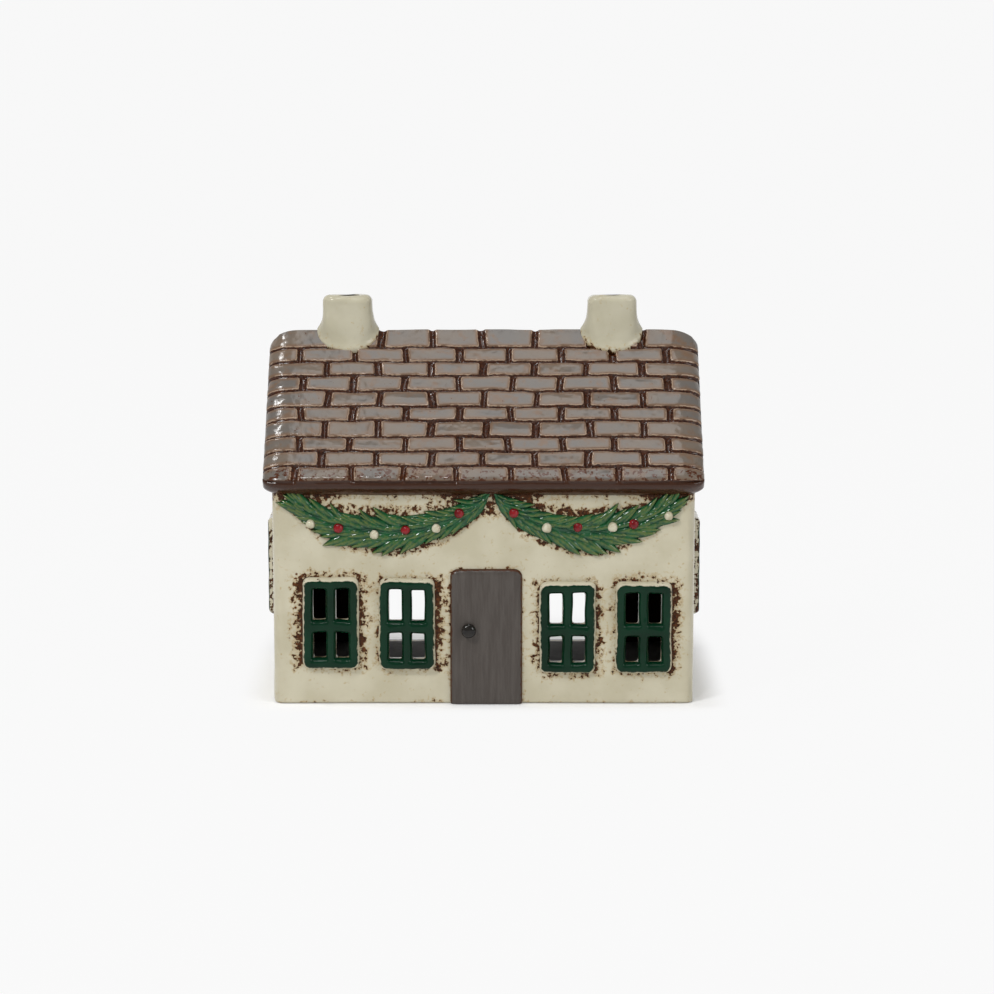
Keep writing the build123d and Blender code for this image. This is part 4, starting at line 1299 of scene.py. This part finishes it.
# Share of the way along the left or right swag, and distance above the middle of its stem.
RED_BERRIES = {-1: ((0.737, -0.7), (0.414, 0.6), (0.138, 1.7)), 1: ((0.098, 0.5), (0.447, 1.7), (0.745, 0.6))}
WHITE_BERRIES = {
    -1: ((0.867, -2.5), (0.564, -0.9), (0.267, -0.7)),
    1: ((0.286, -0.2), (0.633, 1.2), (0.927, -1.5)),
}


def berries(name, places, material, seed):
    """Spheres of rings from pole to pole, each off its swag's arc along the arc's normal."""
    random = np.random.default_rng(seed)
    centres = []
    for direction, swag in places.items():
        t, above = np.array(swag).T
        x, z, angle = swag_arc(direction, t)
        out = np.full(len(t), FRONT_FACE - BERRY_OUT)
        x = x - direction * above * np.sin(angle)
        z = z + above * np.cos(angle)
        centres.append(np.stack([x, out, z], axis=-1))
    centre = np.concatenate(centres)
    size = BERRY_RADIUS * random.uniform(0.92, 1.06, len(centre))
    polar = np.linspace(0.06, np.pi - 0.06, BERRY_RINGS)
    ring_x, ring_z, ring_y = turned_piece(np.sin(polar), -np.cos(polar), BERRY_SIDES)
    ball = np.stack([ring_x, 0.85 * ring_y, ring_z], axis=-1).reshape(-1, 3)
    ball = ball * (1 + 0.05 * sway(seed, 1.6, *ball.T))[:, None]
    points = (centre[:, None] + size[:, None, None] * ball[None]).reshape(-1, 3)
    starts = np.arange(len(centre)) * len(ball)
    quads = grid_faces(BERRY_RINGS, BERRY_SIDES, wrap=True)[None] + starts[:, None, None]
    caps = np.array(end_caps(BERRY_RINGS, BERRY_SIDES))[None] + starts[:, None, None]
    quads, caps = quads.reshape(-1, 4), caps.reshape(-1, BERRY_SIDES)
    make_piece(name + "_clay", points, quads, caps, material, [name])


berries("red_berries", RED_BERRIES, red_glaze, 101)
berries("white_berries", WHITE_BERRIES, white_glaze, 103)

# %% [markdown]
# ## Floor
# The floor slab keeps its CAD shape: a flat plate between the walls. It only needs its glaze, a darker grey
# than the walls.

# %% Floor
FLOOR_GREY = (0.17, 0.165, 0.155)
FLOOR_DARK = (0.11, 0.105, 0.10)
FLOOR_ROUGHNESS = 0.7
FLOOR_GLOSS = 0.1
hearth_glaze, tree, shader = new_material("hearth_glaze")
glaze = use_group(tree, cloudy_glaze)
colour = between(tree, glaze["Cloud"], FLOOR_GREY, FLOOR_DARK)
finish(tree, shader, colour, bumped(tree, glaze["Ripple"], 0.2), FLOOR_ROUGHNESS, FLOOR_GLOSS)
floor_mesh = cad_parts["floor_slab"].data
floor_mesh.materials.clear()
floor_mesh.materials.append(hearth_glaze)
print("floor glazed")

# %% [markdown]
# ## Tealight
# A drawn aluminium cup with fine upright flutes, white wax with a raised edge where it wetted the cup, and a
# braided wick. They ride on the tealight's own body, because it can be drawn out through the arch.

# %% Tealight materials


def grained(name, grain, light, dark, depth, roughness, metallic=0.0):
    """A finish between two colours by a grain (noise values, then the limits of its soft step)."""
    material, tree, shader = new_material(name)
    mask = ramp(tree, noise(tree, *grain[:-2]), *grain[-2:])
    finish(tree, shader, between(tree, mask, light, dark), bumped(tree, mask, depth), roughness)
    shader.inputs["Metallic"].default_value = metallic
    return material


BRUSHED = (0.8, 2, 0.6, (1.0, 1.0, 0.1), 0.3, 0.7)
BRAIDED = (0.35, 2, 0.6, 0.35, 0.65)
STAMPED = (1.5, 3, 0.3, 0.7)
cup_aluminium = grained("cup_aluminium", BRUSHED, (0.62, 0.62, 0.62), (0.74, 0.74, 0.74), 0.03, 0.28, 1.0)
wick_cotton = grained("wick_cotton", BRAIDED, (0.66, 0.62, 0.52), (0.50, 0.46, 0.37), 0.08, 0.85)
sustainer_steel = grained("sustainer_steel", STAMPED, (0.48, 0.48, 0.47), (0.60, 0.60, 0.59), 0.04, 0.35, 1.0)

wax_white, tree, shader = new_material("wax_white")
cloud = ramp(tree, noise(tree, 5, 2), 0.35, 0.65)
colour = between(tree, cloud, (0.80, 0.78, 0.72), (0.72, 0.69, 0.62))
finish(tree, shader, colour, bumped(tree, noise(tree, 2.5, 2), 0.1), 0.42)
shader.inputs["Subsurface Weight"].default_value = 0.25
shader.inputs["Subsurface Radius"].default_value = (0.004, 0.003, 0.002)
sustainer_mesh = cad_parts["wick_sustainer"].data
sustainer_mesh.materials.clear()
sustainer_mesh.materials.append(sustainer_steel)
print("tealight finishes made")

# %% Tealight cup, wax and wick
cup_low = box_mm("tealight_cup")[0]
wax_low = box_mm("tealight_wax")[0]
wick_low, wick_high = box_mm("tealight_wick")
CUP_RADIUS = 19.0
FLUTE_COUNT = 60
FLUTE_DEPTH = 0.14
CUP_SIDES = 240
WAX_SIDES = 96
WICK_RINGS = 60
WICK_SIDES = 24

cup_r = np.array([0.01, 9.0, 17.6, 18.5, 18.9, 19.0, 19.0, 19.0, 19.0, 19.2, 19.4, 19.45])
cup_z = np.array([0.0, 0.0, 0.0, 0.2, 0.7, 1.4, 5.0, 10.0, 14.8, 15.4, 15.6, 15.85])
cup_r = np.append(cup_r, [19.3, 18.9, 18.65, 18.6, 18.6, 18.0, 9.0, 0.01])
cup_z = np.append(cup_z, [16.0, 15.8, 15.2, 8.0, 0.6, 0.45, 0.4, 0.4])
ring_x, ring_y, ring_z = turned_piece(cup_r, cup_low[2] + cup_z, CUP_SIDES)
angle = np.arctan2(ring_y, ring_x)
fluted = smooth_step(cup_z, 1.0, 2.5) * smooth_step(cup_z, 14.6, 13.5) * (cup_r > 18.0)
squeeze = 1 - FLUTE_DEPTH / CUP_RADIUS * (0.5 - 0.5 * np.cos(FLUTE_COUNT * angle)) * fluted[:, None]
rings = np.stack([ring_x * squeeze, ring_y * squeeze, ring_z], axis=-1)
tube_piece("tealight_cup_foil", rings, cup_aluminium, "tealight_cup", "tealight")

wax_r = np.array([0.01, 8.0, 16.0, 17.8, 18.2, 18.3, 18.3, 18.2, 17.6, 15.0, 9.0, 4.0, 2.2, 1.3, 0.95, 0.01])
wax_z = np.array([0.5, 0.5, 0.5, 0.7, 1.4, 3.0, 11.0, 12.4, 12.05, 11.95, 11.95, 11.95])
wax_z = np.append(wax_z, [12.05, 12.3, 12.45, 12.45])
ring_x, ring_y, ring_z = turned_piece(wax_r, wax_low[2] + wax_z, WAX_SIDES)
rings = np.stack([ring_x, ring_y, ring_z], axis=-1)
tube_piece("tealight_wax_pool", rings, wax_white, "tealight_wax", "tealight")

climb = np.linspace(0, 1, WICK_RINGS)
wick_z = wick_low[2] + climb * (wick_high[2] - wick_low[2] - 0.2)
wick_r = 0.78 * (1 - 0.6 * smooth_step(climb, 0.94, 1.0))
ring_x, ring_y, ring_z = turned_piece(wick_r, wick_z, WICK_SIDES)
angle = np.arctan2(ring_y, ring_x)
strand = 1 + 0.12 * np.cos(3 * angle + 2.2 * (ring_z - wick_low[2]))
lean = 0.25 * smooth_step(climb, 0.65, 1.0)[:, None]
rings = np.stack([ring_x * strand + lean, ring_y * strand, ring_z], axis=-1)
tube_piece("tealight_wick_braid", rings, wick_cotton, "tealight_wick", "tealight")
